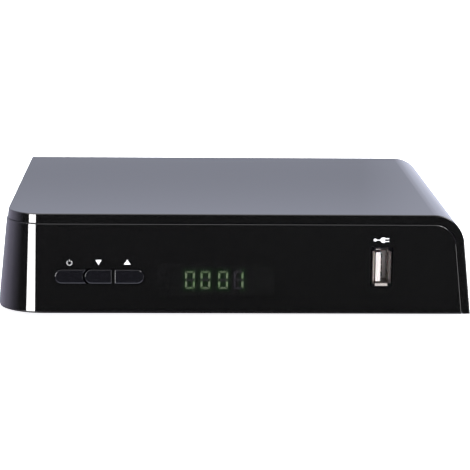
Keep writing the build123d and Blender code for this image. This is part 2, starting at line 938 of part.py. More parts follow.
def make_standby_led():
    """Round standby lamp with its two leads."""
    far = front_board_depth + board_thickness
    lamp = lengthwise(led_x, display_row_height, led_radius, led_depth, led_depth + 2 * led_radius)
    lamp += Pos(led_x, led_depth, display_row_height) * Sphere(led_radius)
    for side in (-1, 1):
        x = led_x + side * led_radius / 2
        lamp += lengthwise(x, display_row_height, lead_radius, led_depth + led_radius, far)
    return lamp


def make_front_board():
    """Upright circuit board behind the fascia."""
    span_x = (front_board_left, front_board_right)
    span_y = (front_board_depth, front_board_depth + board_thickness)
    board = block(span_x, span_y, (front_board_floor, front_board_top))
    far = front_board_depth + board_thickness + 1
    for x, height in front_post_places():
        board -= lengthwise(x, height, screw_radius + hole_clearance, front_board_depth - 1, far)
    for x in link_places():
        half = link_pin_width / 2
        span_z = (link_height() - half, link_height() + half)
        board -= block((x - half, x + half), (front_board_depth - 1, far), span_z)
    for number in (-1, 0, 1):
        x = ir_x + number * ir_width / 3
        board -= lengthwise(x, display_row_height, lead_radius, front_board_depth - 1, far)
    for side in (-1, 1):
        x = led_x + side * led_radius / 2
        board -= lengthwise(x, display_row_height, lead_radius, front_board_depth - 1, far)
    return board


def make_front_board_screws():
    """Screws through the front board into the fascia's posts."""
    screw = Rot(90, 0, 0) * make_screw(board_screw_length)
    far = front_board_depth + board_thickness
    return Part() + [Pos(x, far, height) * screw for x, height in front_post_places()]


def link_places():
    """X of the pins that join the two boards."""
    first = link_x - (link_pin_count - 1) / 2 * link_pin_pitch
    return [first + number * link_pin_pitch for number in range(link_pin_count)]


def link_height():
    """Height of the link's pins."""
    return board_top + link_block_height / 2


def make_link_header():
    """Plastic block of the board-to-board link, on the main board's front edge."""
    half = link_pin_count * link_pin_pitch / 2
    span_y = (board_front_gap, board_front_gap + link_block_depth)
    header = block((link_x - half, link_x + half), span_y, (board_top, board_top + link_block_height))
    for x in link_places():
        header -= link_pin(x)
    return header


def link_pin(x):
    """One square pin between the boards."""
    half = link_pin_width / 2
    span_z = (link_height() - half, link_height() + half)
    far = board_front_gap + link_block_depth
    return block((x - half, x + half), (front_board_depth, far), span_z)


def make_link_pins():
    """All pins of the board-to-board link."""
    return Part() + [link_pin(x) for x in link_places()]


# ---------------------------------------------------------------- USB socket


def usb_section(depth, grow):
    """Rectangle across the USB shell at a depth."""
    plane = Plane(origin=(usb_x, depth, usb_middle), x_dir=(1, 0, 0), z_dir=(0, -1, 0))
    return plane * Rectangle(usb_width + 2 * grow, usb_height + 2 * grow)


def make_usb_shell():
    """Folded steel shell with four flared lips and a closed back."""
    near = usb_setback + usb_flare_length
    far = usb_setback + usb_length
    flare = loft([usb_section(usb_setback, usb_flare), usb_section(near, 0)], ruled=True)
    inner = usb_flare - usb_wall
    flare -= loft([usb_section(usb_setback, inner), usb_section(near, -usb_wall)], ruled=True)
    for side in (-1, 1):
        for end in (-1, 1):
            x = usb_x + side * (usb_width / 2 + usb_flare)
            height = usb_middle + end * (usb_height / 2 + usb_flare)
            notch = block((x - usb_flare_notch, x + usb_flare_notch), (0, near),
                          (height - usb_flare_notch, height + usb_flare_notch))
            flare -= notch
    tube = extrude(usb_section(far, 0), amount=far - near)
    tube -= extrude(usb_section(far - usb_wall, -usb_wall), amount=far)
    shell = flare + tube
    for side in (-1, 1):
        for end in (-1, 1):
            shell = shell - usb_spring_window(side, end) + usb_spring(side, end)
    return shell + usb_legs()


def usb_spring_window(side, end):
    """Cutter for one spring's window in a wide side of the shell."""
    x = usb_x + side * usb_width / 2
    middle = usb_middle + end * usb_spring_offset
    half = usb_spring_height / 2
    span_x = (x - 2 * usb_wall, x + 2 * usb_wall)
    return block(span_x, (usb_spring_near, usb_spring_far), (middle - half, middle + half))


def usb_spring(side, end):
    """Spring left standing in its window, bent inwards towards the mouth."""
    outer = usb_x + side * usb_width / 2
    inner = outer - side * usb_wall
    tip = usb_spring_near + usb_spring_slit
    outline = Polyline(
        (outer, usb_spring_far),
        (inner, usb_spring_far),
        (inner - side * usb_spring_bow, tip),
        (outer - side * usb_spring_bow, tip),
        close=True,
    )
    half = usb_spring_height / 2 - usb_spring_slit
    low = usb_middle + end * usb_spring_offset - half
    return extrude(Pos(0, 0, low) * make_face(outline.edges()), amount=2 * half)


def usb_legs():
    """Solder legs folded down from both sides of the shell, through the board."""
    legs = []
    for side in (-1, 1):
        outer = usb_x + side * usb_width / 2
        inner = outer - side * usb_wall
        span_z = (board_floor - usb_leg_reach, usb_middle - usb_height / 2 + usb_wall)
        for near in usb_leg_depths:
            legs.append(block(sorted((inner, outer)), (near, near + usb_leg_length), span_z))
    return legs


def usb_tongue_span():
    """X span of the plastic tongue, near the left side of the shell."""
    left = usb_x - usb_width / 2 + usb_wall + usb_tongue_offset
    return left, left + usb_tongue_thickness


def make_usb_tongue():
    """White plastic tongue on a block that closes the back of the shell."""
    half = usb_tongue_height / 2
    start = usb_setback + usb_flare_length
    far = usb_setback + usb_length - usb_wall
    tongue = block(usb_tongue_span(), (start, far), (usb_middle - half, usb_middle + half))
    half_x = usb_width / 2 - usb_wall
    half_z = usb_height / 2 - usb_wall
    span_z = (usb_middle - half_z, usb_middle + half_z)
    front = start + usb_tongue_length
    tongue += block((usb_x - half_x, usb_x + half_x), (front, far), span_z)
    face = usb_tongue_span()[1]
    pit_half = usb_contact_width / 2 + 0.1
    for offset in usb_contact_spacing:
        middle = usb_middle + offset
        pit_z = (middle - pit_half, middle + pit_half)
        tongue -= block((face, face + usb_contact_bow), (front, front + usb_contact_pit), pit_z)
    return tongue


def make_usb_contacts():
    """Four sprung contact strips, bowed out of the tongue's open side."""
    face = usb_tongue_span()[1]
    start = usb_setback + usb_flare_length + 0.8
    far = start + usb_tongue_length - 0.8
    bow_near = start + 3.0
    outline = Polyline(
        (face, start),
        (face + 0.1, start),
        (face + usb_contact_bow, bow_near),
        (face + usb_contact_bow, bow_near + 1.2),
        (face + 0.25, far),
        (face, far),
        close=True,
    )
    profile = make_face(outline.edges())
    strips = []
    for offset in usb_contact_spacing:
        low = usb_middle + offset - usb_contact_width / 2
        strips.append(extrude(Pos(0, 0, low) * profile, amount=usb_contact_width))
    return Part() + strips


# ---------------------------------------------------------------- tuner


def lnb_places():
    """X of the two threaded sockets."""
    return [lnb_middle - lnb_spacing / 2, lnb_middle + lnb_spacing / 2]


def make_tuner_can():
    """Folded tinplate can of the tuner, hollow inside."""
    span_x = (tuner_left, tuner_left + tuner_width)
    span_y = (panel_inner - tuner_depth, panel_inner)
    span_z = (board_top, board_top + tuner_height)
    can = block(span_x, span_y, span_z)
    hollow = [(low + tuner_wall, high - tuner_wall) for low, high in (span_x, span_y, span_z)]
    can -= block(*hollow)
    for x in lnb_places():
        can -= lengthwise(x, lnb_height, lnb_pin_hole_radius, panel_inner - 1, panel_inner + 1)
    return can


def make_lnb_socket(number):
    """Threaded sleeve of one aerial socket, from the can to its open end."""
    x = lnb_places()[number]
    nut_face = panel_outer + lnb_nut_height
    sleeve = lengthwise(x, lnb_height, lnb_radius, nut_face, lnb_tip)
    sleeve = chamfer(sleeve.edges().sort_by(Axis.Y)[-1], lnb_bevel)
    sleeve += lengthwise(x, lnb_height, lnb_shank_radius, panel_inner, nut_face)
    return sleeve - lengthwise(x, lnb_height, lnb_bore_radius, panel_inner + 1, lnb_tip + 1)


def make_lnb_insulators():
    """White plastic cores of the aerial sockets, each with its pin hole."""
    cores = []
    for x in lnb_places():
        core = lengthwise(x, lnb_height, lnb_bore_radius, panel_inner + 1, lnb_tip - lnb_bevel)
        cores.append(core - lengthwise(x, lnb_height, lnb_pin_hole_radius, panel_inner, lnb_tip))
    return Part() + cores


def make_lnb_nuts():
    """Hexagon nuts that clamp the aerial sockets to the rear panel."""
    nuts = []
    for x in lnb_places():
        outline = Pos(x, lnb_height) * RegularPolygon(lnb_nut_radius, 6)
        outline -= Pos(x, lnb_height) * Circle(lnb_shank_radius)
        nuts.append(along_y(outline, panel_outer, panel_outer + lnb_nut_height))
    return Part() + nuts


# ---------------------------------------------------------------- other sockets behind


def make_video_shell():
    """Folded steel shell of the digital video socket."""
    half = video_width / 2
    low = board_top
    high = board_top + video_height
    slope = video_height * 0.4
    outline = Polyline(
        (video_x - half, high),
        (video_x + half, high),
        (video_x + half, low + slope),
        (video_x + half - slope, low),
        (video_x - half + slope, low),
        (video_x - half, low + slope),
        close=True,
    )
    outer = make_face(outline.edges())
    inner = offset(outer, -video_wall)
    far = socket_face
    near = far - video_length
    return along_y(outer, near, far) - along_y(inner, near + video_wall, far + 1)


def make_video_tongue():
    """Plastic tongue in the digital video socket."""
    half = video_tongue_width / 2
    middle = board_top + video_height * 0.55
    near = socket_face - video_length + video_wall
    span_z = (middle - video_tongue_height / 2, middle + video_tongue_height / 2)
    return block((video_x - half, video_x + half), (near, socket_face - 1.2), span_z)


def make_scart_socket():
    """Moulded socket with a groove for the plug's frame and two rows of slits."""
    middle = board_top + scart_height / 2
    outline = Pos(scart_x, middle) * Rectangle(scart_width, scart_height)
    near = socket_face - scart_length
    socket = along_y(outline, near, socket_face)
    island_outer = offset(outline, -scart_frame)
    island_inner = offset(outline, -scart_frame - scart_groove)
    groove = along_y(island_outer - island_inner, socket_face - scart_groove_depth, socket_face + 1)
    socket -= groove
    for row in (-1, 1):
        height = middle + row * scart_height / 5
        for number in range(scart_slit_count):
            x = scart_x + (number - (scart_slit_count - 1) / 2) * scart_slit_pitch
            span_x = (x - scart_slit_width / 2, x + scart_slit_width / 2)
            span_z = (height - scart_slit_height / 2, height + scart_slit_height / 2)
            socket -= block(span_x, (socket_face - scart_slit_depth, socket_face + 1), span_z)
    return socket


def audio_height():
    """Height of the digital audio socket's middle."""
    return board_top + audio_block_height / 2


def make_audio_jack():
    """Moulded body of the digital audio socket, with its insulating core."""
    half = audio_block_width / 2
    span_y = (panel_inner - audio_block_depth, panel_inner)
    span_z = (board_top, board_top + audio_block_height)
    body = block((audio_x - half, audio_x + half), span_y, span_z)
    tip = panel_outer + audio_sleeve_length
    body += lengthwise(audio_x, audio_height(), audio_sleeve_bore, panel_inner - 1, tip - 2)
    return body - lengthwise(audio_x, audio_height(), audio_pin_bore, panel_inner - 4, tip + 1)


def make_audio_sleeve():
    """Metal sleeve round the digital audio socket's core."""
    tip = panel_outer + audio_sleeve_length
    sleeve = lengthwise(audio_x, audio_height(), audio_sleeve_radius, panel_outer, tip)
    sleeve = chamfer(sleeve.edges().sort_by(Axis.Y)[-1], lnb_bevel / 2)
    sleeve += lengthwise(audio_x, audio_height(), audio_shank_radius, panel_inner, panel_outer)
    return sleeve - lengthwise(audio_x, audio_height(), audio_sleeve_bore, panel_inner - 1, tip + 1)


def eye_jack_middle():
    """Height of the remote eye socket's middle."""
    return board_top + eye_jack_height / 2


def make_eye_jack():
    """Small round socket for a wired remote-control eye."""
    half = eye_jack_width / 2
    near = panel_inner - eye_jack_bore_length - 1
    span_z = (board_top, board_top + eye_jack_height)
    body = block((eye_jack_x - half, eye_jack_x + half), (near, panel_inner), span_z)
    body += lengthwise(eye_jack_x, eye_jack_middle(), eye_jack_nose, panel_inner - 1, socket_face)
    start = socket_face - eye_jack_bore_length
    return body - lengthwise(eye_jack_x, eye_jack_middle(), eye_jack_bore, start, socket_face + 1)


def power_middle():
    """Height of the power socket's middle."""
    return board_top + power_block_height / 2


def make_power_jack():
    """Moulded body of the power socket."""
    half = power_block_width / 2
    span_z = (board_top, board_top + power_block_height)
    body = block((power_x - half, power_x + half), (socket_face - power_block_depth, socket_face), span_z)
    start = socket_face - power_bore_length
    return body - lengthwise(power_x, power_middle(), power_bore_radius, start, socket_face + 1)


def make_power_pin():
    """Centre pin of the power socket."""
    start = socket_face - power_bore_length
    pin = lengthwise(power_x, power_middle(), power_pin_radius, start, socket_face - 1)
    return fillet(pin.edges().sort_by(Axis.Y)[-1], power_pin_radius / 2)


# ---------------------------------------------------------------- card reader


def reader_mouth():
    """X of the reader's open end, just inside the cover's right wall."""
    return side_x(board_top + reader_height) - cover_wall - reader_wall_gap


def make_card_reader():
    """Flat frame with a slot for the smart card, open to the right."""
    mouth = reader_mouth()
    span_y = (reader_front, reader_front + reader_width)
    body = block((mouth - reader_length, mouth), span_y, (board_top, board_top + reader_height))
    middle = reader_front + reader_width / 2
    half = card_slot_width / 2
    low = board_top + card_slot_rise
    span_z = (low, low + card_slot_height)
    slot_end = mouth - reader_length + case_wall
    body -= block((slot_end, mouth + 1), (middle - half, middle + half), span_z)
    for x, y in card_contact_places():
        span_x = (x - card_contact_width, x + card_contact_width)
        span_y = (y - card_contact_width / 2, y + card_contact_width / 2)
        body -= block(span_x, span_y, (board_top, low + card_slot_height / 8))
    return body


def card_contact_places():
    """Places of the eight contacts under the card."""
    middle = reader_front + reader_width / 2
    inner = reader_mouth() - reader_length + card_contact_inset
    places = []
    for row in range(card_contact_rows):
        for column in range(card_contact_columns):
            y = middle + (column - (card_contact_columns - 1) / 2) * card_contact_pitch
            places.append((inner + row * card_contact_row_pitch, y))
    return places


def make_card_contacts():
    """Eight sprung contacts that stand a little proud in the card slot."""
    contacts = []
    half = card_contact_width / 2
    for x, y in card_contact_places():
        top = board_top + card_slot_rise + card_slot_height / 4
        span_y = (y - half, y + half)
        contacts.append(block((x - card_contact_width, x + card_contact_width), span_y, (board_top, top)))
    return Part() + contacts


# ---------------------------------------------------------------- main board


def make_main_board():
    """Main circuit board, with a tongue in front for the USB socket."""
    span_z = (board_floor, board_top)
    board = block((board_left, board_right), (board_front_gap, board_back), span_z)
    board += block((tab_left, board_right), (tab_front, board_front_gap + 1), span_z)
    for x, y in board_screw_places():
        board -= upright(x, y, screw_radius + hole_clearance, 0, case_height)
    return board - usb_legs()


def make_board_screws():
    """Screws through the main board into the floor's posts."""
    screw = Rot(180, 0, 0) * make_screw(board_screw_length)
    return Part() + [Pos(x, y, board_top) * screw for x, y in board_screw_places()]


def on_board(places):
    """Places in the bench frame, from distances to the board's right and back edges."""
    return [(board_right - right_gap, board_back - back_gap) for right_gap, back_gap in places]


def chip(x, y, size, height):
    """Flat chip on the main board."""
    half_x = size[0] / 2
    half_y = size[1] / 2
    return block((x - half_x, x + half_x), (y - half_y, y + half_y), (board_top, board_top + height))


def make_processor():
    """Main processor's package."""
    return chip(processor_x, processor_y, (processor_size, processor_size), processor_height)


def make_heatsink():
    """Finned aluminium heatsink on the processor."""
    low = board_top + processor_height
    half = heatsink_size / 2
    span_x = (processor_x - half, processor_x + half)
    span_y = (processor_y - half, processor_y + half)
    sink = block(span_x, span_y, (low, low + heatsink_base))
    pitch = (heatsink_size - fin_thickness) / (fin_count - 1)
    for number in range(fin_count):
        left = span_x[0] + number * pitch
        sink += block((left, left + fin_thickness), span_y, (low, low + heatsink_height))
    return sink


def make_memory_chips():
    """Two memory chips beside the processor."""
    x = processor_x - memory_offset
    depths = (processor_y - memory_spacing / 2, processor_y + memory_spacing / 2)
    return Part() + [chip(x, y, memory_size, chip_height) for y in depths]


def make_flash_chip():
    """Program memory chip in front of the processor."""
    return chip(processor_x, processor_y - flash_offset, flash_size, chip_height)


def make_regulators():
    """Two voltage regulators."""
    return Part() + [chip(x, y, regulator_size, regulator_height) for x, y in on_board(regulator_places)]


def make_capacitors():
    """Electrolytic capacitors."""
    cans = []
    for x, y in on_board(capacitor_places):
        can = upright(x, y, capacitor_radius, board_top, board_top + capacitor_height)
        cans.append(fillet(can.edges().sort_by(Axis.Z)[-1], capacitor_radius / 8))
    return Part() + cans


def make_inductors():
    """Square power inductors with a round drum in each."""
    coils = []
    for x, y in on_board(inductor_places):
        square = chip(x, y, (inductor_size, inductor_size), inductor_height)
        coils.append(chamfer(square.edges().filter_by(Axis.Z), inductor_size / 5))
    return Part() + coils


def make_crystal():
    """Crystal in its flat metal can."""
    x = processor_x + processor_size
    y = processor_y - processor_size / 2
    outline = Pos(x, y) * SlotOverall(crystal_length, crystal_width)
    can = extrude(Pos(0, 0, board_top) * outline, amount=crystal_height)
    return fillet(can.edges().group_by(Axis.Z)[-1], crystal_height / 6)


os.makedirs("parts", exist_ok=True)

pieces = {
    "top_cover": make_top_cover(),
    "front_fascia": make_front_fascia(),
    "display_window": make_display_window(),
    "bottom_case": make_bottom_case(),
    "rear_panel": make_rear_panel(),
    "rubber_feet": make_feet(),
    "case_screws": make_case_screws(),
    "panel_screws": make_panel_screws(),
    "key_guide": make_key_guide(),
    "switch_bodies": make_switch_bodies(),
    "switch_covers": make_switch_covers(),
    "display_housing": make_display_housing(),
    "display_segments_lit": make_segments(True),
    "display_segments_unlit": make_segments(False),
    "display_holder": make_display_holder(),
    "ir_receiver": make_ir_receiver(),
    "standby_led": make_standby_led(),
    "front_board": make_front_board(),
    "front_board_screws": make_front_board_screws(),
    "link_header": make_link_header(),
    "link_pins": make_link_pins(),
    "usb_shell": make_usb_shell(),
    "usb_tongue": make_usb_tongue(),
    "usb_contacts": make_usb_contacts(),
    "tuner_can": make_tuner_can(),
    "lnb_in_socket": make_lnb_socket(0),
    "lnb_out_socket": make_lnb_socket(1),
    "lnb_insulators": make_lnb_insulators(),
    "lnb_nuts": make_lnb_nuts(),
    "video_shell": make_video_shell(),
    "video_tongue": make_video_tongue(),
    "scart_socket": make_scart_socket(),
    "audio_jack": make_audio_jack(),
    "audio_sleeve": make_audio_sleeve(),
    "remote_eye_jack": make_eye_jack(),
    "power_jack": make_power_jack(),
    "power_pin": make_power_pin(),
    "card_reader": make_card_reader(),
    "card_contacts": make_card_contacts(),
    "main_board": make_main_board(),
    "board_screws": make_board_screws(),
    "processor": make_processor(),
    "heatsink": make_heatsink(),
    "memory_chips": make_memory_chips(),
    "flash_chip": make_flash_chip(),
    "regulators": make_regulators(),
    "capacitors": make_capacitors(),
    "inductors": make_inductors(),
    "crystal": make_crystal(),
}
for name in key_spans:
    pieces[f"key_{name}"] = make_key(name)
    pieces[f"plunger_{name}"] = make_plunger(name)

for name, shape in pieces.items():
    save(name, shape)
    print(name, round(shape.volume, 1), len(shape.solids()))
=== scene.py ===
# %% [markdown]
# # A satellite TV receiver
# A low gloss-black box with three push keys, a green four-digit display and a serial-bus
# socket in front, and its aerial, video, audio and power sockets behind. The solids come
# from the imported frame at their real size. This notebook gives every one its finish, adds
# the threads, nuts, screws, contacts and printing that the solids leave out, and sets up
# a plain studio. First the frame is loaded, and its box is kept for the last cell.

# %% Load the frame
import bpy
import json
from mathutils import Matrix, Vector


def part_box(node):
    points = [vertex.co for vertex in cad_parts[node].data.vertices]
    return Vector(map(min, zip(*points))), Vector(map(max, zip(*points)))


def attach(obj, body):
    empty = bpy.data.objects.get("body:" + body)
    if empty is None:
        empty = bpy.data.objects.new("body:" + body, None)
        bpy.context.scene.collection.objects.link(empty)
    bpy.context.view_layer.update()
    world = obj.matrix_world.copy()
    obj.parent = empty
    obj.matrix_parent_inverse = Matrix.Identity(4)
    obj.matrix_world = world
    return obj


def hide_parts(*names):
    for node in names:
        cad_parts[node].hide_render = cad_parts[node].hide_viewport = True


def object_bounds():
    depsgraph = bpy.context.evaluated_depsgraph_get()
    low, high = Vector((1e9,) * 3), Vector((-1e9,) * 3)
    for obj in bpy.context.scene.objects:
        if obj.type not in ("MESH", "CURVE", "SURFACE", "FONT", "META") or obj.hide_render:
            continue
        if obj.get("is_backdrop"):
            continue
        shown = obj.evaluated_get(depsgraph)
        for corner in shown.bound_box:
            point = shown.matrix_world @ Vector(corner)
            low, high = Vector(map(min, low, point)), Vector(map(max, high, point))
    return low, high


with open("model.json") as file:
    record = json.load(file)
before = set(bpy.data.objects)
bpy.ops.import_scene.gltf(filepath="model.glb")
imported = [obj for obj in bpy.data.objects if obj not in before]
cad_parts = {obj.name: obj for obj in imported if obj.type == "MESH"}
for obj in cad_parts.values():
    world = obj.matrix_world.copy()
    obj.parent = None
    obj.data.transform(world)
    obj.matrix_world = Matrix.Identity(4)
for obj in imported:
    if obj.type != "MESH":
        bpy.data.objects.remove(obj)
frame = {"nodes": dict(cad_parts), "record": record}
cad_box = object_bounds()

# %% [markdown]
# ## Measures
# Blender works in metres, but a set-top box is drawn in millimetres, so lengths below are
# in millimetres and `at` turns them into a place. It measures across from the middle,
# backwards from the fascia's face and up from the shell's underside, and takes those two
# planes from the frame.

# %% Units and places
import json
import math

import bmesh
import bpy
from mathutils import Matrix, Vector

MM = 0.001
face_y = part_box("front_fascia")[0].y
shell_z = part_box("bottom_case")[0].z
panel_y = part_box("rear_panel")[1].y
HALF_BASE = -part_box("bottom_case")[0].x / MM  # the shell is widest at its underside


def at(across, back, up):
    """A place in metres, from millimetres measured on the shell."""
    return Vector((across * MM, face_y + back * MM, shell_z + up * MM))


def middle(node):
    """The middle of a node's box."""
    low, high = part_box(node)
    return (low + high) / 2


print("fascia at y", round(face_y, 5), "and rear panel at y", round(panel_y, 5))

# %% [markdown]
# ## The camera
# The receiver is seen from a little above and almost square on, through a long lens. Yaw,
# pitch and roll are turns about the camera's own axes, and multiplying three small
# rotation matrices is the clearest way to write that.

# %% Camera
LENS_MM = 142.2
SENSOR_MM = 36.0
eye = Vector((-21.94, -738.93, 169.57)) * MM
yaw, pitch, roll = (math.radians(angle) for angle in (1.90, 11.64, 0.578))
aim = (
    Matrix.Rotation(-yaw, 4, "Z")
    @ Matrix.Rotation(math.radians(90) - pitch, 4, "X")
    @ Matrix.Rotation(roll, 4, "Z")
)
camera = bpy.data.objects.new("camera", bpy.data.cameras.new("camera"))
camera.data.lens = LENS_MM
camera.data.sensor_width = SENSOR_MM
camera.data.clip_end = 30.0
camera.matrix_world = Matrix.Translation(eye) @ aim
bpy.context.scene.collection.objects.link(camera)
bpy.context.scene.camera = camera
bpy.context.scene.view_settings.view_transform = "Standard"
print("camera with a", LENS_MM, "mm lens,", round(eye.length * 1000), "mm away")

# %% [markdown]
# ## Small helpers
# Colours are written as they look on screen, as hex sRGB, while shaders need linear light,
# so one function converts them. Another adds a node to any tree, shader or geometry, with
# its settings, its values and the sockets that feed it. Four more use it for what comes
# most often: a sum, a ramp from one range to another, noise, and a colour between two.

# %% Colour and node helpers


def linear(hex_colour):
    """Linear RGBA from a hex sRGB colour."""
    channels = [int(hex_colour[i:i + 2], 16) / 255 for i in (1, 3, 5)]
    return [c / 12.92 if c <= 0.04045 else ((c + 0.055) / 1.055) ** 2.4 for c in channels] + [1.0]


def add(tree, kind, inputs=None, **settings):
    """Add one node. inputs maps a socket's name or number to a value or to its sources."""
    node = tree.nodes.new(kind)
    for name, value in settings.items():
        setattr(node, name, value)
    for key, value in (inputs or {}).items():
        sources = value if isinstance(value, list) else [value]
        if isinstance(sources[0], bpy.types.NodeSocket):
            for source in sources:
                tree.links.new(source, node.inputs[key])
        else:
            node.inputs[key].default_value = value
    return node


def per(millimetres):
    """A texture's scale for features of that real size."""
    return 1 / (millimetres * MM)


def calculate(tree, operation, *values):
    """The result of a Math node on numbers or sockets."""
    return add(tree, "ShaderNodeMath", dict(enumerate(values)), operation=operation).outputs[0]


def ramp(tree, value, start, end, low=0.0, high=1.0, shape="LINEAR"):
    """A value that goes from low to high between start and end, and is level beyond them."""
    return add(tree, "ShaderNodeMapRange", {
        "Value": value, "From Min": start, "From Max": end, "To Min": low, "To Max": high,
    }, interpolation_type=shape).outputs["Result"]


def noise(tree, place, size_mm, detail=2.0):
    """Soft noise from 0 to 1, with features of a real size."""
    return add(tree, "ShaderNodeTexNoise", {
        "Vector": place, "Scale": per(size_mm), "Detail": detail,
    }).outputs["Fac"]


def blend(tree, share, first, second):
    """A colour between two, each a socket or linear RGBA."""
    return add(tree, "ShaderNodeMix", {0: share, 6: first, 7: second}, data_type="RGBA").outputs[2]


print("black fascia in linear light:", [round(c, 4) for c in linear("#18181a")])

# %% [markdown]
# ## The studio
# A gloss-black box shows the studio more than itself. Its lid mirrors what stands behind,
# its face what lies low in front, and its round corner sweeps past everything to the left.
# So the world is bright behind and at the sides, dark in front, and pale below, as on a
# white table. One tall soft box front left draws the crisp white strip down the corner.
# The fill light that the white parts need is kept out of reflections.

# %% World
world = bpy.data.worlds.new("studio")
bpy.context.scene.world = world
world.use_nodes = True
sky = world.node_tree
sky.nodes.clear()
ray = add(sky, "ShaderNodeTexCoord").outputs["Generated"]
rays = dict(add(sky, "ShaderNodeSeparateXYZ", {"Vector": ray}).outputs.items())
rays["aside"] = calculate(sky, "ABSOLUTE", rays["X"])
RAMPS = {  # part of the ray's direction, where the ramp starts and ends, its two values, its shape
    "forward": ("Y", -0.40, 0.20, 0.0, 1.0, "LINEAR"),  # nothing is bright in front of square-on
    "side": ("X", -0.1, 0.1, 1.35, 1.05, "LINEAR"),  # glow of the left wall and the right wall
    "back": ("Z", 0.165, 0.215, 0.63, 1.07, "SMOOTHSTEP"),  # wall behind, brighter higher up
    "rightward": ("X", 0.10, 0.19, 0.0, 1.0, "LINEAR"),
    "sideways": ("aside", 0.35, 0.8, 0.0, 1.0, "LINEAR"),
    "table": ("Z", -0.45, -0.70, 0.0, 5.0, "SMOOTHSTEP"),
    "front": ("Z", 0.0, 0.25, 0.0, 0.3, "SMOOTHSTEP"),  # above the horizon only, off the face
}
BACK_RIGHT = 1.15  # the wall behind the right shoulder
GLOW_EVERYWHERE = 0.01
ramps = {name: ramp(sky, rays[part], *numbers) for name, (part, *numbers) in RAMPS.items()}
back = add(sky, "ShaderNodeMix", {
    0: ramps["rightward"], 2: ramps["back"], 3: BACK_RIGHT,
}).outputs[0]
back = calculate(sky, "MULTIPLY", back, ramps["forward"])
side = calculate(sky, "MULTIPLY", ramps["forward"], ramps["side"])
glow = add(sky, "ShaderNodeMix", {0: ramps["sideways"], 2: back, 3: side}).outputs[0]
glow = calculate(sky, "MAXIMUM", glow, ramps["front"])
glow = calculate(sky, "MAXIMUM", glow, ramps["table"])
glow = calculate(sky, "ADD", glow, GLOW_EVERYWHERE)
tint = blend(sky, ramps["sideways"], linear("#e7ebff"), linear("#e7e1ff"))
studio = add(sky, "ShaderNodeBackground", {"Color": tint, "Strength": glow}).outputs[0]
backdrop = add(sky, "ShaderNodeBackground", {
    "Color": linear("#ffffff"), "Strength": 1.0,
}).outputs[0]
seen = add(sky, "ShaderNodeLightPath").outputs["Is Camera Ray"]
mixed = add(sky, "ShaderNodeMixShader", {0: seen, 1: studio, 2: backdrop}).outputs[0]
add(sky, "ShaderNodeOutputWorld", {"Surface": mixed})
print("world with", len(sky.nodes), "nodes")

# %% Soft boxes


def soft_box(name, centre, target, width, height, radiance, mirrored=True, lit=True):
    """A rectangular light in metres, aimed at a target. Mirrors or shading may leave it out."""
    light = bpy.data.lights.new(name, "AREA")
    light.shape = "RECTANGLE"
    light.size = width
    light.size_y = height
    light.energy = radiance * 4 * width * height
    lamp = bpy.data.objects.new(name, light)
    lamp.location = centre
    lamp.rotation_euler = (Vector(target) - Vector(centre)).to_track_quat("-Z", "Y").to_euler()
    lamp.visible_camera = False
    lamp.visible_glossy = mirrored
    lamp.visible_diffuse = lit
    bpy.context.scene.collection.objects.link(lamp)


corner = at(-75.4, 1.0, 18.0)
STRIP_FROM = math.radians(23.6)  # turned left from straight in front of the corner
STRIP_TO = math.radians(45.8)
strip_middle = (STRIP_FROM + STRIP_TO) / 2
strip_width = 2 * math.tan((STRIP_TO - STRIP_FROM) / 2)  # one metre away
strip_way = Vector((-math.sin(strip_middle), -math.cos(strip_middle), 0))
STRIP_HEIGHT = 0.46
strip_drop = Vector((0, 0, -0.05))
soft_box("corner_strip", corner + strip_way + strip_drop, corner + strip_drop,
         strip_width, STRIP_HEIGHT, 26.0, lit=False)
soft_box("left_high", (-0.75, -0.75, 0.85), (-0.05, 0, 0.02), 0.5, 0.5, 5.0, lit=False)
soft_box("overhead", (0, -0.1, 1.3), (0, -0.1, 0), 1.8, 2.2, 1.8)
soft_box("right_low", (1.0, -0.8, -0.22), (0.05, 0, 0.02), 0.7, 0.3, 4.5, lit=False)
soft_box("right_high", (0.80, -0.55, 0.95), (0.06, 0, 0.02), 0.5, 0.5, 18.0, lit=False)
soft_box("front_fill", (-0.3, -1.0, 1.9), (0, 0, 0), 1.4, 1.0, 4.6, mirrored=False)
soft_box("right_wall", (1.4, 0.1, 0.5), (0, 0, 0), 1.2, 1.0, 1.5, mirrored=False)
soft_box("back_fill", (0.5, 1.6, 0.9), (0, 0, 0), 1.4, 1.0, 0.8, mirrored=False)
print(len(bpy.data.lights), "soft boxes; the strip is", round(strip_width, 3), "m wide")

# %% [markdown]
# ## The floor
# The receiver stands on a pale light table, whose glow leaves only a faint shadow under
# the box. It is a plain disc, and it is marked as stage, so it never counts as part of
# the receiver.

# %% Floor


def meshed(solid, name):
    """A mesh from the bmesh that it was built in, which is freed."""
    mesh = bpy.data.meshes.new(name)
    solid.to_mesh(mesh)
    solid.free()
    return mesh


FLOOR_RADIUS = 6.0
disc = bmesh.new()
bmesh.ops.create_circle(disc, cap_ends=True, cap_tris=True, segments=96, radius=FLOOR_RADIUS)
floor = bpy.data.objects.new("floor", meshed(disc, "floor"))
bpy.context.scene.collection.objects.link(floor)
floor_paint = bpy.data.materials.new("opal light table")
floor_paint.use_nodes = True
opal = floor_paint.node_tree
opal_top = opal.nodes["Principled BSDF"].inputs
opal_top["Base Color"].default_value = linear("#f4f4f4")
opal_top["Roughness"].default_value = 0.9
opal_top["Specular IOR Level"].default_value = 0.1
opal_place = add(opal, "ShaderNodeTexCoord").outputs["Object"]
opal_glow = blend(opal, noise(opal, opal_place, 300), linear("#f5f5f6"), linear("#f9f9fa"))
opal.links.new(opal_glow, opal_top["Emission Color"])
opal_top["Emission Strength"].default_value = 1.0
floor.data.materials.append(floor_paint)
floor.visible_glossy = False
floor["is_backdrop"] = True
print("floor of", FLOOR_RADIUS, "m radius")

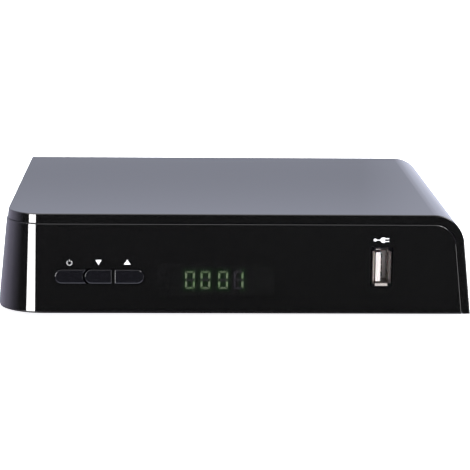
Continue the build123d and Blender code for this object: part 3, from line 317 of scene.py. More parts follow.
# %% [markdown]
# ## One recipe for moulded, coated and plated surfaces
# Real surfaces are never one colour: a moulding has faint clouds from its flow, a coating
# has orange peel, a drawn metal has lines. `finish` gives a surface two close shades that
# drift over a set distance, a roughness that wanders between two values, and a relief of a
# set grit, each from a real size in millimetres. Stretching the grit along one axis turns
# it into drawing lines. Constants such as metallic go straight on the surface's sockets.

# %% The finish recipe
finishes = {}


def finish(slot, name, shades, roughness, cloud_mm, grit_mm, relief_mm, stretch=(1, 1, 1),
           **constants):
    """Make a slot's finish, and return its tree, its surface and the place on the object."""
    material = bpy.data.materials.new(name)
    finishes[slot] = material
    material.use_nodes = True
    tree = material.node_tree
    surface = tree.nodes["Principled BSDF"]
    for socket, value in constants.items():
        surface.inputs[socket.replace("_", " ")].default_value = value
    place = add(tree, "ShaderNodeTexCoord").outputs["Object"]
    along = add(tree, "ShaderNodeMapping", {"Vector": place, "Scale": stretch}).outputs["Vector"]
    shade = blend(tree, noise(tree, place, cloud_mm, 3.0), linear(shades[0]), linear(shades[1]))
    grit = noise(tree, along, grit_mm)
    rough = ramp(tree, grit, 0.3, 0.7, *roughness)
    relief = add(tree, "ShaderNodeBump", {"Height": grit, "Distance": relief_mm * MM})
    tree.links.new(shade, surface.inputs["Base Color"])
    tree.links.new(rough, surface.inputs["Roughness"])
    tree.links.new(relief.outputs["Normal"], surface.inputs["Normal"])
    return tree, surface, place


print("finish recipe ready")

# %% [markdown]
# ## Gloss shell, keys and window
# The shell is ABS out of a mirror-polished mould. That gives the eye sharp reflections,
# with only a breath of wiping marks in them, over a deep black. The keys are the same
# plastic from a slightly duller cavity. The window is smoked acrylic, clear but so dark
# that only what is lit behind it shows.

# %% Gloss plastics


def gloss_abs(slot, name, shades, roughness, level):
    """Mirror-moulded ABS: the shared recipe, and faint wiping marks in its gloss."""
    tree, surface, place = finish(
        slot, name, shades, roughness, 60.0, 1.2, 0.00003, IOR=1.54, Specular_IOR_Level=level)
    # real wiping marks are finer than a hair; these are 0.8 mm wide so that they show
    wipe = add(tree, "ShaderNodeMapping", {
        "Vector": place, "Rotation": (0, 0, 0.35), "Scale": (0.04, 1.0, 1.0),
    }).outputs["Vector"]
    marked = ramp(tree, noise(tree, wipe, 0.8, 4.0), 0.55, 0.8, 0.0, 0.03)
    base = surface.inputs["Roughness"].links[0].from_socket
    tree.links.new(calculate(tree, "ADD", base, marked), surface.inputs["Roughness"])


gloss_abs("gloss_shell", "gloss black ABS", ("#0c0c0c", "#0f0f0f"), (0.02, 0.03), 0.42)
gloss_abs("key_plastic", "key black ABS", ("#0f0f12", "#121215"), (0.06, 0.09), 0.28)
finish("smoked_window", "smoked acrylic", ("#262626", "#292929"), (0.02, 0.03), 20.0, 2.0, 0.00003,
       IOR=1.49, Transmission_Weight=0.8, Specular_IOR_Level=0.45)
print("made", ", ".join(finishes))

# %% [markdown]
# ## Satin case, rear plate, rubber and small mouldings
# The tray under the gloss shell is moulded with a spark texture, a fine even grain of a
# quarter of a millimetre that hides scratches. The rear plate is steel with a black powder
# coat, whose orange peel is coarser. Rubber is the dullest. Inner mouldings are plain
# nylon and ABS with a slight sheen.

# %% Dull plastics, coats and rubber
finish("satin_case", "spark-textured ABS", ("#18181a", "#1e1e20"), (0.36, 0.48), 30.0, 0.28, 0.02,
       IOR=1.54, Specular_IOR_Level=0.2)
finish("rear_plate", "black powder coat", ("#1b1b1c", "#242425"), (0.34, 0.5), 18.0, 0.55, 0.03,
       IOR=1.52)
finish("foot_rubber", "soft black rubber", ("#1d1d1d", "#2a2a29"), (0.75, 0.9), 3.0, 0.4, 0.02,
       IOR=1.52)
finish("inner_plastic", "moulded black nylon", ("#1a1a1a", "#242424"), (0.3, 0.42), 4.0, 0.3,
       0.008, IOR=1.53)
finish("white_plastic", "natural white nylon", ("#c6c0bb", "#cfc9c4"), (0.32, 0.42), 3.0, 0.4,
       0.004, IOR=1.53, Subsurface_Weight=0.1, Subsurface_Scale=0.001)
finish("audio_body", "orange moulded insulator", ("#d0611a", "#dc7226"), (0.3, 0.4), 3.0, 0.3,
       0.006, IOR=1.53)
finish("chip_epoxy", "black epoxy package", ("#1e1e20", "#2a2a2c"), (0.45, 0.6), 2.0, 0.12, 0.006,
       IOR=1.55)
finish("ferrite", "grey pressed ferrite", ("#3d3d3f", "#515154"), (0.6, 0.75), 1.5, 0.15, 0.01,
       IOR=1.6)
finish("white_ink", "white screen print", ("#f4f4f4", "#ffffff"), (0.4, 0.5), 0.8, 0.1, 0.001,
       IOR=1.5)
print("made", len(finishes), "finishes so far")

# %% [markdown]
# ## Metals
# Tinplate is rolled, so its fine lines run one way and its reflections smear across them.
# The aerial sockets and nuts are turned brass under nickel, a warmer and smoother grey.
# Contacts have a flash of gold. Screws are zinc-plated and blotchy. Metals keep the
# default index of refraction, because their colour already says how they reflect.

# %% Metals
finish("tinplate", "bright rolled tinplate", ("#9c9691", "#b2aca7"), (0.2, 0.32), 2.5, 0.09,
       0.0004, stretch=(1.0, 0.06, 1.0), Metallic=1.0)
finish("nickel", "nickel-plated brass", ("#b3ac9d", "#c2bbad"), (0.14, 0.24), 4.0, 0.2, 0.001,
       Metallic=1.0)
finish("contact_gold", "gold-flashed bronze", ("#c9a352", "#dcbb6e"), (0.16, 0.26), 1.5, 0.1,
       0.0005, Metallic=1.0)
# a very dark bronze for the serial-bus socket's contacts: painted shade, as they lie deep in the
# dark socket
finish("painted_shade_bronze", "phosphor bronze in painted shade", ("#2b2219", "#3a2e22"), (0.3, 0.42), 1.5, 0.1,
       0.0005, Metallic=1.0)
finish("screw_steel", "zinc-plated steel", ("#8f9093", "#b3b4b6"), (0.24, 0.4), 1.2, 0.15, 0.002,
       Metallic=1.0)
finish("sink_aluminium", "black anodised aluminium", ("#2b2c30", "#36373b"), (0.35, 0.45), 6.0,
       0.2, 0.002, stretch=(1.0, 0.05, 1.0), Metallic=1.0)
print("made", len(finishes), "finishes so far")

# %% [markdown]
# ## Circuit boards and capacitor sleeves
# A circuit board is fibreglass under green solder mask, with lighter green tracks and small
# bare pads. Long bricks in a thin mortar look like a bus of tracks. A capacitor's sleeve
# is dark blue film with one pale stripe down its side.

# %% Boards and sleeves


def solder_mask():
    """Green board with lighter tracks and tinned pads."""
    tree, surface, place = finish(
        "solder_mask", "green solder mask", ("#0d3b22", "#124a2b"), (0.22, 0.32), 20.0, 0.3, 0.004,
        IOR=1.55)
    tracks = add(tree, "ShaderNodeTexBrick", {
        "Vector": place, "Scale": per(1.0), "Color1": linear("#0f4025"),
        "Color2": linear("#114629"), "Mortar": linear("#2f7d4d"), "Mortar Size": 0.16,
        "Brick Width": 9.0, "Row Height": 0.9,
    }).outputs["Color"]
    pads = add(tree, "ShaderNodeTexVoronoi", {
        "Vector": place, "Scale": per(2.6),
    }).outputs["Distance"]
    shade = blend(tree, ramp(tree, pads, 0.13, 0.10), tracks, linear("#c9c2a8"))
    tree.links.new(shade, surface.inputs["Base Color"])


def capacitor_sleeve():
    """Dark blue shrink film with a pale stripe for the negative lead."""
    tree, surface, place = finish(
        "capacitor_sleeve", "shrink sleeve", ("#161c38", "#1c2444"), (0.25, 0.35), 3.0, 0.3, 0.003,
        IOR=1.5)
    # one stripe each 10 mm across falls on one side of every 8 mm can
    across = add(tree, "ShaderNodeSeparateXYZ", {"Vector": place}).outputs["X"]
    turn = calculate(tree, "PINGPONG", across, 10 * MM)
    stripe = calculate(tree, "LESS_THAN", turn, 1.0 * MM)
    base = surface.inputs["Base Color"].links[0].from_socket
    tree.links.new(blend(tree, stripe, base, linear("#b9bccb")), surface.inputs["Base Color"])


solder_mask()
capacitor_sleeve()
print("made", len(finishes), "finishes so far")

# %% [markdown]
# ## The display
# The digits are cast resin bars in a black block. Lit bars glow pale green, brighter in
# their middle, and some of their light creeps into the block, so its face has a faint
# green halo round each lit digit, worked out from the digits' places. Bars that are off
# stay a dim purple-grey, with a faint painted glow for the stray light of their neighbours.

# %% Display finishes
DIGIT_HALF_WIDTH = 1.83
DIGIT_HALF_HEIGHT = 3.43
DIGIT_PITCH = 5.75
COLON_ROOM = 0.8
HALO_REACH = 1.6
display = middle("display_housing")


def distance(tree, coordinate, centre):
    """How far a coordinate is from a centre, either way."""
    return calculate(tree, "ABSOLUTE", calculate(tree, "SUBTRACT", coordinate, centre))


def fading(tree, coordinate, centre, half_mm):
    """Full up to half_mm from a centre, and gone a halo's reach further out."""
    away = distance(tree, coordinate, centre)
    return ramp(tree, away, (half_mm + HALO_REACH) * MM, half_mm * MM, shape="SMOOTHSTEP")


def lit_resin():
    """Resin bars that glow from within, brightest in their middle."""
    tree, surface, place = finish(
        "lit_segment", "lit resin", ("#9db08c", "#b4c4a2"), (0.3, 0.4), 1.0, 0.3, 0.002,
        IOR=1.5, Emission_Strength=16.0)
    patch = ramp(tree, noise(tree, place, 1.6, 1.0), 0.35, 0.65)
    glow = blend(tree, patch, linear("#c4f0b0"), linear("#dcf6c8"))
    height = add(tree, "ShaderNodeSeparateXYZ", {"Vector": place}).outputs["Z"]
    height = distance(tree, height, display.z)
    spread = 1.0
    # dark where two bars meet at the middle line, and dimmer towards the outer ends
    for start, end, low, high in ((0.25, 0.95, 0.12, 1.0), (2.2, 3.0, 1.0, 0.55)):
        share = ramp(tree, height, start * MM, end * MM, low, high)
        spread = calculate(tree, "MULTIPLY", spread, share)
    dimmed = blend(tree, spread, linear("#000000"), glow)
    tree.links.new(dimmed, surface.inputs["Emission Color"])


def display_face():
    """Black face of the display, with a green halo round the lit digits."""
    tree, surface, place = finish(
        "display_face", "black display face", ("#0d0f0e", "#131514"), (0.4, 0.5), 4.0, 0.3, 0.004,
        IOR=1.5, Emission_Strength=5.0)
    parts = add(tree, "ShaderNodeSeparateXYZ", {"Vector": place}).outputs
    halo = 0.0
    for number in range(4):
        side = 1 if number > 1 else -1
        x = display.x / MM + (number - 1.5) * DIGIT_PITCH + side * COLON_ROOM / 2
        half = DIGIT_HALF_WIDTH
        if number == 3:  # the last digit is a one: only its right-hand bars are lit
            x += DIGIT_HALF_WIDTH * 0.8
            half = DIGIT_HALF_WIDTH * 0.2
        near = fading(tree, parts["X"], x * MM, half)
        halo = calculate(tree, "MAXIMUM", halo, near)
    level = fading(tree, parts["Z"], display.z, DIGIT_HALF_HEIGHT)
    halo = calculate(tree, "MULTIPLY", halo, level)
    glow = blend(tree, halo, linear("#000000"), linear("#126410"))
    tree.links.new(glow, surface.inputs["Emission Color"])


lit_resin()
# a bar that is off is given a faint painted glow, for the stray light from its lit neighbours
finish("dark_segment", "unlit resin", ("#7f7886", "#8a8392"), (0.35, 0.45), 1.0, 0.3, 0.002,
       IOR=1.5, Emission_Color=linear("#f2e6ff"), Emission_Strength=1.9)
finish("led_epoxy", "tinted epoxy lens", ("#1c0807", "#240b0a"), (0.15, 0.25), 1.5, 0.3, 0.001,
       IOR=1.55)
display_face()
print("made", len(finishes), "finishes")

# %% [markdown]
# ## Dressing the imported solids
# Each node already names the slot its finish belongs to, so one loop dresses all of them,
# those too that a finer piece replaces further down.

# %% Give every node its finish
for part in frame["record"]["subparts"]:
    shown = frame["nodes"][part["node"]]
    shown.material_slots[0].material = finishes[part["material_slot"]]
# the serial-bus socket's contacts take the dark bronze instead of gold: painted shade, as they sit
# deep in the dark socket
frame["nodes"]["usb_contacts"].material_slots[0].material = finishes["painted_shade_bronze"]

# %% [markdown]
# ## Helpers for new pieces
# A new piece is a mesh whose place is in its vertices, riding on one body and carrying
# one slot's finish. `turned` spins a profile into a closed solid, as on a lathe. `softened` merges
# a imported solid's corners and rounds its sharp edges a little, because no moulding or
# pressing has a true sharp edge, and the eye expects the thin highlight along it. Weighted
# normals then keep the large faces flat in the light.

# %% Piece helpers


def add_piece(name, mesh, slot, replaces=(), sharp_deg=32.0):
    """Put a finished mesh in the scene as one piece of the receiver."""
    mesh.materials.clear()
    mesh.materials.append(finishes[slot])
    if sharp_deg:
        mesh.shade_smooth()
        mesh.set_sharp_from_angle(angle=math.radians(sharp_deg))
    piece = bpy.data.objects.new(name, mesh)
    bpy.context.scene.collection.objects.link(piece)
    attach(piece, "receiver")
    if replaces:
        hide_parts(*replaces)
    return piece


def evaluated(piece):
    """The piece's mesh with its modifiers applied; the piece itself is deleted."""
    graph = bpy.context.evaluated_depsgraph_get()
    mesh = bpy.data.meshes.new_from_object(piece.evaluated_get(graph))
    bpy.data.objects.remove(piece)
    return mesh


def merged(node):
    """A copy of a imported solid's mesh with its loose triangles joined."""
    solid = bmesh.new()
    solid.from_mesh(frame["nodes"][node].data)
    bmesh.ops.remove_doubles(solid, verts=solid.verts, dist=1e-6)
    return solid


def islands(node):
    """The box of each separate solid in a node, from left to right."""
    solid = merged(node)
    left = set(solid.verts)
    boxes = []
    while left:
        found = [left.pop()]
        for vertex in found:
            near = {edge.other_vert(vertex) for edge in vertex.link_edges} & left
            left -= near
            found.extend(near)
        low = Vector([min(v.co[axis] for v in found) for axis in range(3)])
        high = Vector([max(v.co[axis] for v in found) for axis in range(3)])
        boxes.append((low, high))
    solid.free()
    return sorted(boxes, key=lambda box: (round(box[0].x, 5), round(box[0].y, 5), box[0].z))


def workpiece(mesh):
    """A bare object that only carries modifiers for a while."""
    piece = bpy.data.objects.new("workpiece", mesh)
    bpy.context.scene.collection.objects.link(piece)
    return piece


def turned(profile, axis="Y", steps=64):
    """Solid of revolution about an axis through the origin, from (radius, distance) pairs."""
    solid = bmesh.new()
    rings = []
    for radius, along in profile:
        count = 1 if radius == 0 else steps
        rings.append([
            solid.verts.new((
                radius * MM * math.cos(2 * math.pi * step / steps),
                along * MM,
                radius * MM * math.sin(2 * math.pi * step / steps),
            ))
            for step in range(count)
        ])
    if profile[0][0] > 0:
        rings.append(rings[0])
    for low, high in zip(rings, rings[1:]):
        for step in range(steps):
            after = (step + 1) % steps
            loop = [(low, step), (low, after), (high, after), (high, step)]
            corners = list(dict.fromkeys(circle[place % len(circle)] for circle, place in loop))
            if len(corners) > 2:
                solid.faces.new(corners)
    bmesh.ops.recalc_face_normals(solid, faces=solid.faces)
    if axis == "Z":
        upright = Matrix.Rotation(math.radians(90), 3, "X")
        bmesh.ops.rotate(solid, verts=solid.verts, matrix=upright)
    return meshed(solid, "turned")


def moved(mesh, place, turn=0.0):
    """The mesh turned about Z and moved to a place."""
    mesh.transform(Matrix.Translation(place) @ Matrix.Rotation(turn, 4, "Z"))
    return mesh


def joined(meshes):
    """One mesh out of several."""
    whole = bmesh.new()
    for mesh in meshes:
        whole.from_mesh(mesh)
    return meshed(whole, "joined")


def softened(name, node, slot, edge_mm):
    """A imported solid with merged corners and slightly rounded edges, in the node's place."""
    solid = merged(node)
    bmesh.ops.dissolve_limit(
        solid, angle_limit=math.radians(0.4), verts=solid.verts, edges=solid.edges)
    piece = workpiece(meshed(solid, name))
    piece.data.shade_smooth()
    bevel = piece.modifiers.new("edges", "BEVEL")
    bevel.width = edge_mm * MM
    bevel.segments = 2
    bevel.limit_method = "ANGLE"
    bevel.angle_limit = math.radians(40)
    bevel.use_clamp_overlap = False
    flats = piece.modifiers.new("flats", "WEIGHTED_NORMAL")
    flats.weight = 100
    return add_piece(name, evaluated(piece), slot, replaces=[node], sharp_deg=None)


print("piece helpers ready")

# %% [markdown]
# ## The mirror on the round corner
# A mirror shows every error of its surface. On the round corner, the normals that came
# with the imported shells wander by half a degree, enough to make a straight light look
# wavy. The corner's radius shrinks as the walls lean in, so its true normal is known at
# every point. A copy of each shell carries those there, and its given normals elsewhere.

# %% True normals on the round corner
CORNER_RADIUS = 17.8
LEAN = math.tan(math.radians(6.3))  # how fast the walls lean in
COVER_STEP = 0.35  # the cover lies this far inside the fascia's face
CORNER_X = CORNER_RADIUS - HALF_BASE


def corner_normal(spot, inset):
    """The corner's normal at a place in millimetres, or nothing if the place is not on it."""
    axis_y = CORNER_RADIUS - spot.z * LEAN
    across, along = CORNER_X - spot.x, axis_y - spot.y
    off = abs(math.hypot(across, along) - (axis_y - inset))
    if min(across, along) < -0.01 or off > 0.02:
        return None
    turn = math.atan2(max(across, 0), max(along, 0))
    return Vector((-math.sin(turn), -math.cos(turn), LEAN * (1 - math.cos(turn)))).normalized()


def true_corner(name, node, inset):
    """Copy of a gloss shell with exact normals on its round corner."""
    source = frame["nodes"][node].data
    given = [corner.vector.copy() for corner in source.corner_normals]
    solid = bmesh.new()
    solid.from_mesh(source)
    origin = solid.faces.layers.int.new("origin")
    for face in solid.faces:
        face[origin] = face.index
    bmesh.ops.remove_doubles(solid, verts=solid.verts, dist=1e-6)
    mesh = meshed(solid, name)
    origins = [item.value for item in mesh.attributes["origin"].data]
    mesh.attributes.remove(mesh.attributes["origin"])
    add_piece(name, mesh, "gloss_shell", replaces=[node])
    normals = [None] * len(mesh.loops)
    base = at(0, 0, 0)
    corrected = 0
    for face in mesh.polygons:
        first = source.polygons[origins[face.index]]
        for loop in face.loop_indices:
            spot = mesh.vertices[mesh.loops[loop].vertex_index].co
            nearest = min(first.loop_indices, key=lambda n: (
                source.vertices[source.loops[n].vertex_index].co - spot).length_squared)
            normals[loop] = given[nearest]
            exact = corner_normal((spot - base) / MM, inset)
            if exact is not None and exact.dot(face.normal) > 0.98:
                normals[loop] = exact
                corrected += 1
    mesh.normals_split_custom_set(normals)
    print(name, corrected, "of", len(normals), "normals made exact")


true_corner("fascia_mirror", "front_fascia", 0.0)
true_corner("cover_mirror", "top_cover", COVER_STEP)

# %% [markdown]
# ## Softened mouldings and pressings
# These pieces show their edges: the rear plate, the sockets behind, the tuner's can and the
# white tongue of the front socket. Each stands for its node.

# %% Softened pieces
SOFT_EDGES = [
    ("rear_plate_pressed", "rear_panel", "rear_plate", 0.15),
    ("scart_moulding", "scart_socket", "inner_plastic", 0.2),
    ("audio_moulding", "audio_jack", "audio_body", 0.2),
    ("remote_eye_moulding", "remote_eye_jack", "inner_plastic", 0.2),
    ("power_moulding", "power_jack", "inner_plastic", 0.25),
    ("video_shell_folded", "video_shell", "tinplate", 0.08),
    ("tuner_can_folded", "tuner_can", "tinplate", 0.2),
    ("usb_tongue_moulded", "usb_tongue", "white_plastic", 0.12),
]
for name, node, slot, edge in SOFT_EDGES:
    made = softened(name, node, slot, edge)
    print(name, len(made.data.polygons), "faces")

# %% [markdown]
# ## Printed symbols
# The marks on the fascia are screen-printed ink: a power ring, two arrows and a small plug
# over the serial-bus socket. Ink stands a few hundredths of a millimetre high, so each mark
# is a thin prism on the plastic. A ring with a gap is an arc drawn there and back.

# %% Printing helpers
INK_MM = 0.02


def arc(radius, start_deg, end_deg, steps=28):
    """Points on a circle round (0, 0)."""
    turn = end_deg - start_deg
    angles = [math.radians(start_deg + turn * n / steps) for n in range(steps + 1)]
    return [(radius * math.cos(angle), radius * math.sin(angle)) for angle in angles]


def ring(outer, inner, start_deg=0.0, end_deg=359.9):
    """Outline of an open ring."""
    return arc(outer, start_deg, end_deg) + arc(inner, end_deg, start_deg)


def bar(left, low, right, high):
    """Outline of a rectangle."""
    return [(left, low), (right, low), (right, high), (left, high)]


def moved_outline(outline, across, up):
    """The outline moved in its own plane."""
    return [(x + across, z + up) for x, z in outline]


def inked(outlines):
    """Thin prisms in the XZ plane, with their printed side towards -Y."""
    ink = bmesh.new()
    for outline in outlines:
        rows = []
        for depth in (-INK_MM, 0.002):
            rows.append([ink.verts.new((x * MM, depth * MM, z * MM)) for x, z in outline])
        count = len(outline)
        ink.faces.new(rows[0])
        ink.faces.new(rows[1][::-1])
        for n in range(count):
            after = (n + 1) % count
            ink.faces.new([rows[0][after], rows[0][n], rows[1][n], rows[1][after]])
    bmesh.ops.recalc_face_normals(ink, faces=ink.faces)
    return meshed(ink, "ink")


def lettered(words, height_mm):
    """Words as a thin mesh in the XZ plane, centred across and read from -Y."""
    curve = bpy.data.curves.new("words", "FONT")
    curve.body = words
    curve.size = height_mm * 1.4 * MM
    curve.align_x = "CENTER"
    curve.extrude = INK_MM * MM / 2
    mesh = evaluated(workpiece(curve))
    mesh.transform(Matrix.Rotation(math.radians(90), 4, "X"))
    return mesh


print("printing helpers ready; ink is", INK_MM, "mm thick")

# %% Marks on the fascia
POWER_X = -60.65
power_mark = moved_outline(ring(1.0, 0.86, 130, 410), POWER_X, 19.2)
power_bar = bar(POWER_X - 0.06, 19.55, POWER_X + 0.06, 20.4)
down_mark = [(-51.12, 20.28), (-48.82, 20.28), (-49.97, 18.38)]
up_mark = [(-40.61, 18.58), (-38.17, 18.58), (-39.39, 20.45)]
PLUG_X = 54.8
PLUG_UP = 28.1
plug_marks = [
    moved_outline(arc(0.55, 0, 350), -2.7, 0),
    bar(-2.168, -0.14, -0.7, 0.14),
    bar(-0.7, -0.62, -0.35, 0.62),
    bar(-0.35, -0.95, 0.95, 0.95),
    bar(0.95, -0.66, 2.5, -0.38),
    bar(0.95, 0.38, 2.5, 0.66),
]
plug_marks = [moved_outline(outline, PLUG_X, PLUG_UP) for outline in plug_marks]
front_marks = inked([power_mark, power_bar, down_mark, up_mark] + plug_marks)
add_piece("front_printing", moved(front_marks, at(0, 0, 0)), "white_ink")
print("front printing has", len(front_marks.polygons), "faces")

# %% [markdown]
# ## Words behind
# The sockets are named in plain capitals, and a drawing over the power socket shows which
# pole is where. Blender's own font makes the words; they become meshes before they are
# placed, turned half round so that they read from behind.

# %% Printing on the rear plate


def rear_at(across, up):
    """A place on the rear plate's outer face."""
    return Vector((across * MM, panel_y, shell_z + up * MM))


LETTER_MM = 1.9
WORDS_BEHIND = {  # the socket, how far beside its middle, and how high up
    "LNB IN": ("lnb_in_socket", 0, 25.0),
    "LNB OUT": ("lnb_out_socket", 0, 25.0),
    "TV": ("scart_socket", -6, 27.0),
    "VIDEO": ("video_shell", 0, 17.2),
    "AUDIO": ("audio_jack", -0.5, 22.3),
    "IR": ("remote_eye_jack", 0, 19.2),
    "DC 12V": ("power_jack", 0, 21.5),
}
rear_words = []
for words, (node, beside, up) in WORDS_BEHIND.items():
    place = rear_at(middle(node).x / MM + beside, up)
    rear_words.append(moved(lettered(words, LETTER_MM), place, math.pi))
pole_signs = [
    moved_outline(ring(0.85, 0.65), -3.1, 0), bar(-3.5, -0.09, -2.7, 0.09),
    bar(-2.25, -0.09, -0.95, 0.09), ring(0.95, 0.77, 50, 310), arc(0.3, 0, 350),
    bar(0.3, -0.09, 2.25, 0.09), moved_outline(ring(0.85, 0.65), 3.1, 0),
    bar(2.7, -0.09, 3.5, 0.09), bar(3.01, 0.09, 3.19, 0.4), bar(3.01, -0.4, 3.19, -0.09),
]
rear_words.append(moved(inked(pole_signs), rear_at(middle("power_jack").x / MM, 24.85), math.pi))
add_piece("rear_printing", joined(rear_words), "white_ink")
print("printed", ", ".join(WORDS_BEHIND), "and the poles")

# %% [markdown]
# ## A card beside its slot
# The card slot is in the right wall, which leans inwards, so the little drawing of a card
# is turned to face right and tilted with the wall.

# %% Card drawing on the right wall
CARD_UP = 17.5
card_signs = [
    bar(-3.0, -1.9, 3.0, -1.65), bar(-3.0, 1.65, 3.0, 1.9), bar(-3.0, -1.65, -2.75, 1.65),
    bar(2.75, -1.65, 3.0, 1.65), bar(-2.0, -0.55, -0.6, 0.75),
]
card_drawing = inked(card_signs)
card_drawing.transform(
    Matrix.Translation(Vector((
        (HALF_BASE - CARD_UP * LEAN) * MM, middle("card_reader").y, shell_z + CARD_UP * MM)))
    @ Matrix.Rotation(math.radians(90), 4, "Z")
    @ Matrix.Rotation(-math.atan(LEAN), 4, "X")
)
add_piece("card_printing", card_drawing, "white_ink")
print("card drawn at", CARD_UP, "mm")

# %% [markdown]
# ## The aerial sockets' threads
# Each aerial socket is a brass sleeve with a 3/8 inch thread of 32 turns to the inch: a V
# groove that a cutting tool winds round it. Geometry Nodes do the same here. A spiral
# carries a diamond section, and a boolean takes it out of the turned sleeve. The radius,
# pitch, depth and length are inputs of the tree.

# %% Geometry Nodes helpers


def new_tree(name, numbers, blank=False):
    """A geometry tree with inputs for a piece, named numbers, a material and perhaps a blank."""
    tree = bpy.data.node_groups.new(name, "GeometryNodeTree")
    sockets = [("Geometry", "Geometry")] + [(label, "Float") for label in numbers]
    sockets.append(("Material", "Material"))
    if blank:
        sockets.append(("Blank", "Object"))
    for label, kind in sockets:
        tree.interface.new_socket(label, in_out="INPUT", socket_type="NodeSocket" + kind)
    tree.interface.new_socket("Geometry", in_out="OUTPUT", socket_type="NodeSocketGeometry")
    return tree, add(tree, "NodeGroupInput").outputs


def close_tree(tree, geometry, material):
    """End the tree with real geometry that carries its material."""
    real = add(tree, "GeometryNodeRealizeInstances", {"Geometry": geometry}).outputs[0]
    coated = add(tree, "GeometryNodeSetMaterial", {
        "Geometry": real, "Material": material,
    }).outputs[0]
    add(tree, "NodeGroupOutput", {"Geometry": coated})


def run_tree(mesh, tree, values):
    """Run a tree on a mesh and return the plain mesh that it makes."""
    piece = workpiece(mesh)
    modifier = piece.modifiers.new("tree", "NODES")
    modifier.node_group = tree
    for item in tree.interface.items_tree:
        if item.in_out == "INPUT" and item.name in values:
            modifier[item.identifier] = values[item.name]
    return evaluated(piece)


print("geometry tree helpers ready")

# %% Thread tree


def thread_tree():
    """Cuts a helical V groove into a sleeve that lies along Y."""
    tree, given = new_tree("cut a thread", ["Radius", "Pitch", "Depth", "Start", "Length"])
    turns = calculate(tree, "DIVIDE", given["Length"], given["Pitch"])
    spiral = add(tree, "GeometryNodeCurveSpiral", {
        "Resolution": 40, "Rotations": turns, "Start Radius": given["Radius"],
        "End Radius": given["Radius"], "Height": given["Length"],
    }).outputs[0]
    upright = add(tree, "GeometryNodeSetCurveNormal", {"Curve": spiral}, mode="Z_UP").outputs[0]
    half = calculate(tree, "MULTIPLY", given["Pitch"], GROOVE_SHARE)
    size = add(tree, "ShaderNodeCombineXYZ", {"X": given["Depth"], "Y": half, "Z": 1.0}).outputs[0]
    section = add(tree, "GeometryNodeCurvePrimitiveCircle", {
        "Resolution": 4, "Radius": 1.0,
    }).outputs[0]
    section = add(tree, "GeometryNodeTransform", {"Geometry": section, "Scale": size}).outputs[0]
    groove = add(tree, "GeometryNodeCurveToMesh", {
        "Curve": upright, "Profile Curve": section, "Fill Caps": True,
    }).outputs[0]
    start = add(tree, "ShaderNodeCombineXYZ", {"Y": given["Start"]}).outputs[0]
    groove = add(tree, "GeometryNodeTransform", {
        "Geometry": groove, "Translation": start, "Rotation": (math.radians(-90), 0, 0),
    }).outputs[0]
    cut = add(tree, "GeometryNodeMeshBoolean", {
        "Mesh 1": given["Geometry"], "Mesh 2": groove,
    }, operation="DIFFERENCE", solver="MANIFOLD").outputs[0]
    close_tree(tree, cut, given["Material"])
    return tree


THREAD_RADIUS = 4.7625
THREAD_PITCH = 25.4 / 32
THREAD_DEPTH = 0.42
GROOVE_SHARE = 0.46  # half the groove's width, as a share of the pitch
SHANK_RADIUS = 4.4125
SLEEVE_BORE = 3.4
NUT_MM = 2.2
sleeve_low, sleeve_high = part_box("lnb_in_socket")
sleeve_length = (sleeve_high.y - sleeve_low.y) / MM
panel_step = (panel_y - sleeve_low.y) / MM
sleeve_profile = [
    (SLEEVE_BORE, 1.0), (SLEEVE_BORE, sleeve_length - 0.35), (SLEEVE_BORE + 0.3, sleeve_length),
    (THREAD_RADIUS - 0.5, sleeve_length), (THREAD_RADIUS, sleeve_length - 0.5),
    (THREAD_RADIUS, panel_step + NUT_MM), (SHANK_RADIUS, panel_step + NUT_MM), (SHANK_RADIUS, 0.0),
    (1.0, 0.0), (1.0, 1.0),
]
cutter = thread_tree()
for name, node in (("lnb_in_thread", "lnb_in_socket"), ("lnb_out_thread", "lnb_out_socket")):
    thread_start = panel_step + NUT_MM + 0.3
    mesh = run_tree(turned(sleeve_profile, steps=96), cutter, {
        "Radius": THREAD_RADIUS * MM, "Pitch": THREAD_PITCH * MM, "Depth": THREAD_DEPTH * MM,
        "Start": thread_start * MM, "Length": (sleeve_length - thread_start + 1.0) * MM,
        "Material": finishes["nickel"],
    })
    low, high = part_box(node)
    moved(mesh, Vector(((low.x + high.x) / 2, low.y, (low.z + high.z) / 2)))
    add_piece(name, mesh, "nickel", replaces=[node])
    print(name, len(mesh.polygons), "faces")

# %% [markdown]
# ## Parts that come many times
# Screws, nuts, feet and contacts are each made once, standing along Z, and repeated. One
# tree mills a cross into a screw's head, and one mills a nut's six flats. A third stands
# the blank on every vertex of a small mesh of places, turned about its own axis by a random
# angle from a fixed seed, as hands leave screws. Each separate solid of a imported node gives
# one place, its foot along the given axis.

# %% Trees for repeats


def cross_tree():
    """Mills a cross recess into a head whose top is at a given height."""
    tree, given = new_tree("mill a cross", ["Top", "Reach", "Width", "Depth"])
    deep = calculate(tree, "MULTIPLY", given["Depth"], 2.0)
    cutters = []
    for x, y in (("Reach", "Width"), ("Width", "Reach")):
        size = add(tree, "ShaderNodeCombineXYZ", {
            "X": given[x], "Y": given[y], "Z": deep,
        }).outputs[0]
        cutters.append(add(tree, "GeometryNodeMeshCube", {"Size": size}).outputs[0])
    both = add(tree, "GeometryNodeMeshBoolean", {
        1: cutters,
    }, operation="UNION", solver="MANIFOLD").outputs[0]
    place = add(tree, "ShaderNodeCombineXYZ", {"Z": given["Top"]}).outputs[0]
    both = add(tree, "GeometryNodeTransform", {
        "Geometry": both, "Translation": place,
    }).outputs[0]
    cut = add(tree, "GeometryNodeMeshBoolean", {
        "Mesh 1": given["Geometry"], "Mesh 2": both,
    }, operation="DIFFERENCE", solver="MANIFOLD").outputs[0]
    close_tree(tree, cut, given["Material"])
    return tree


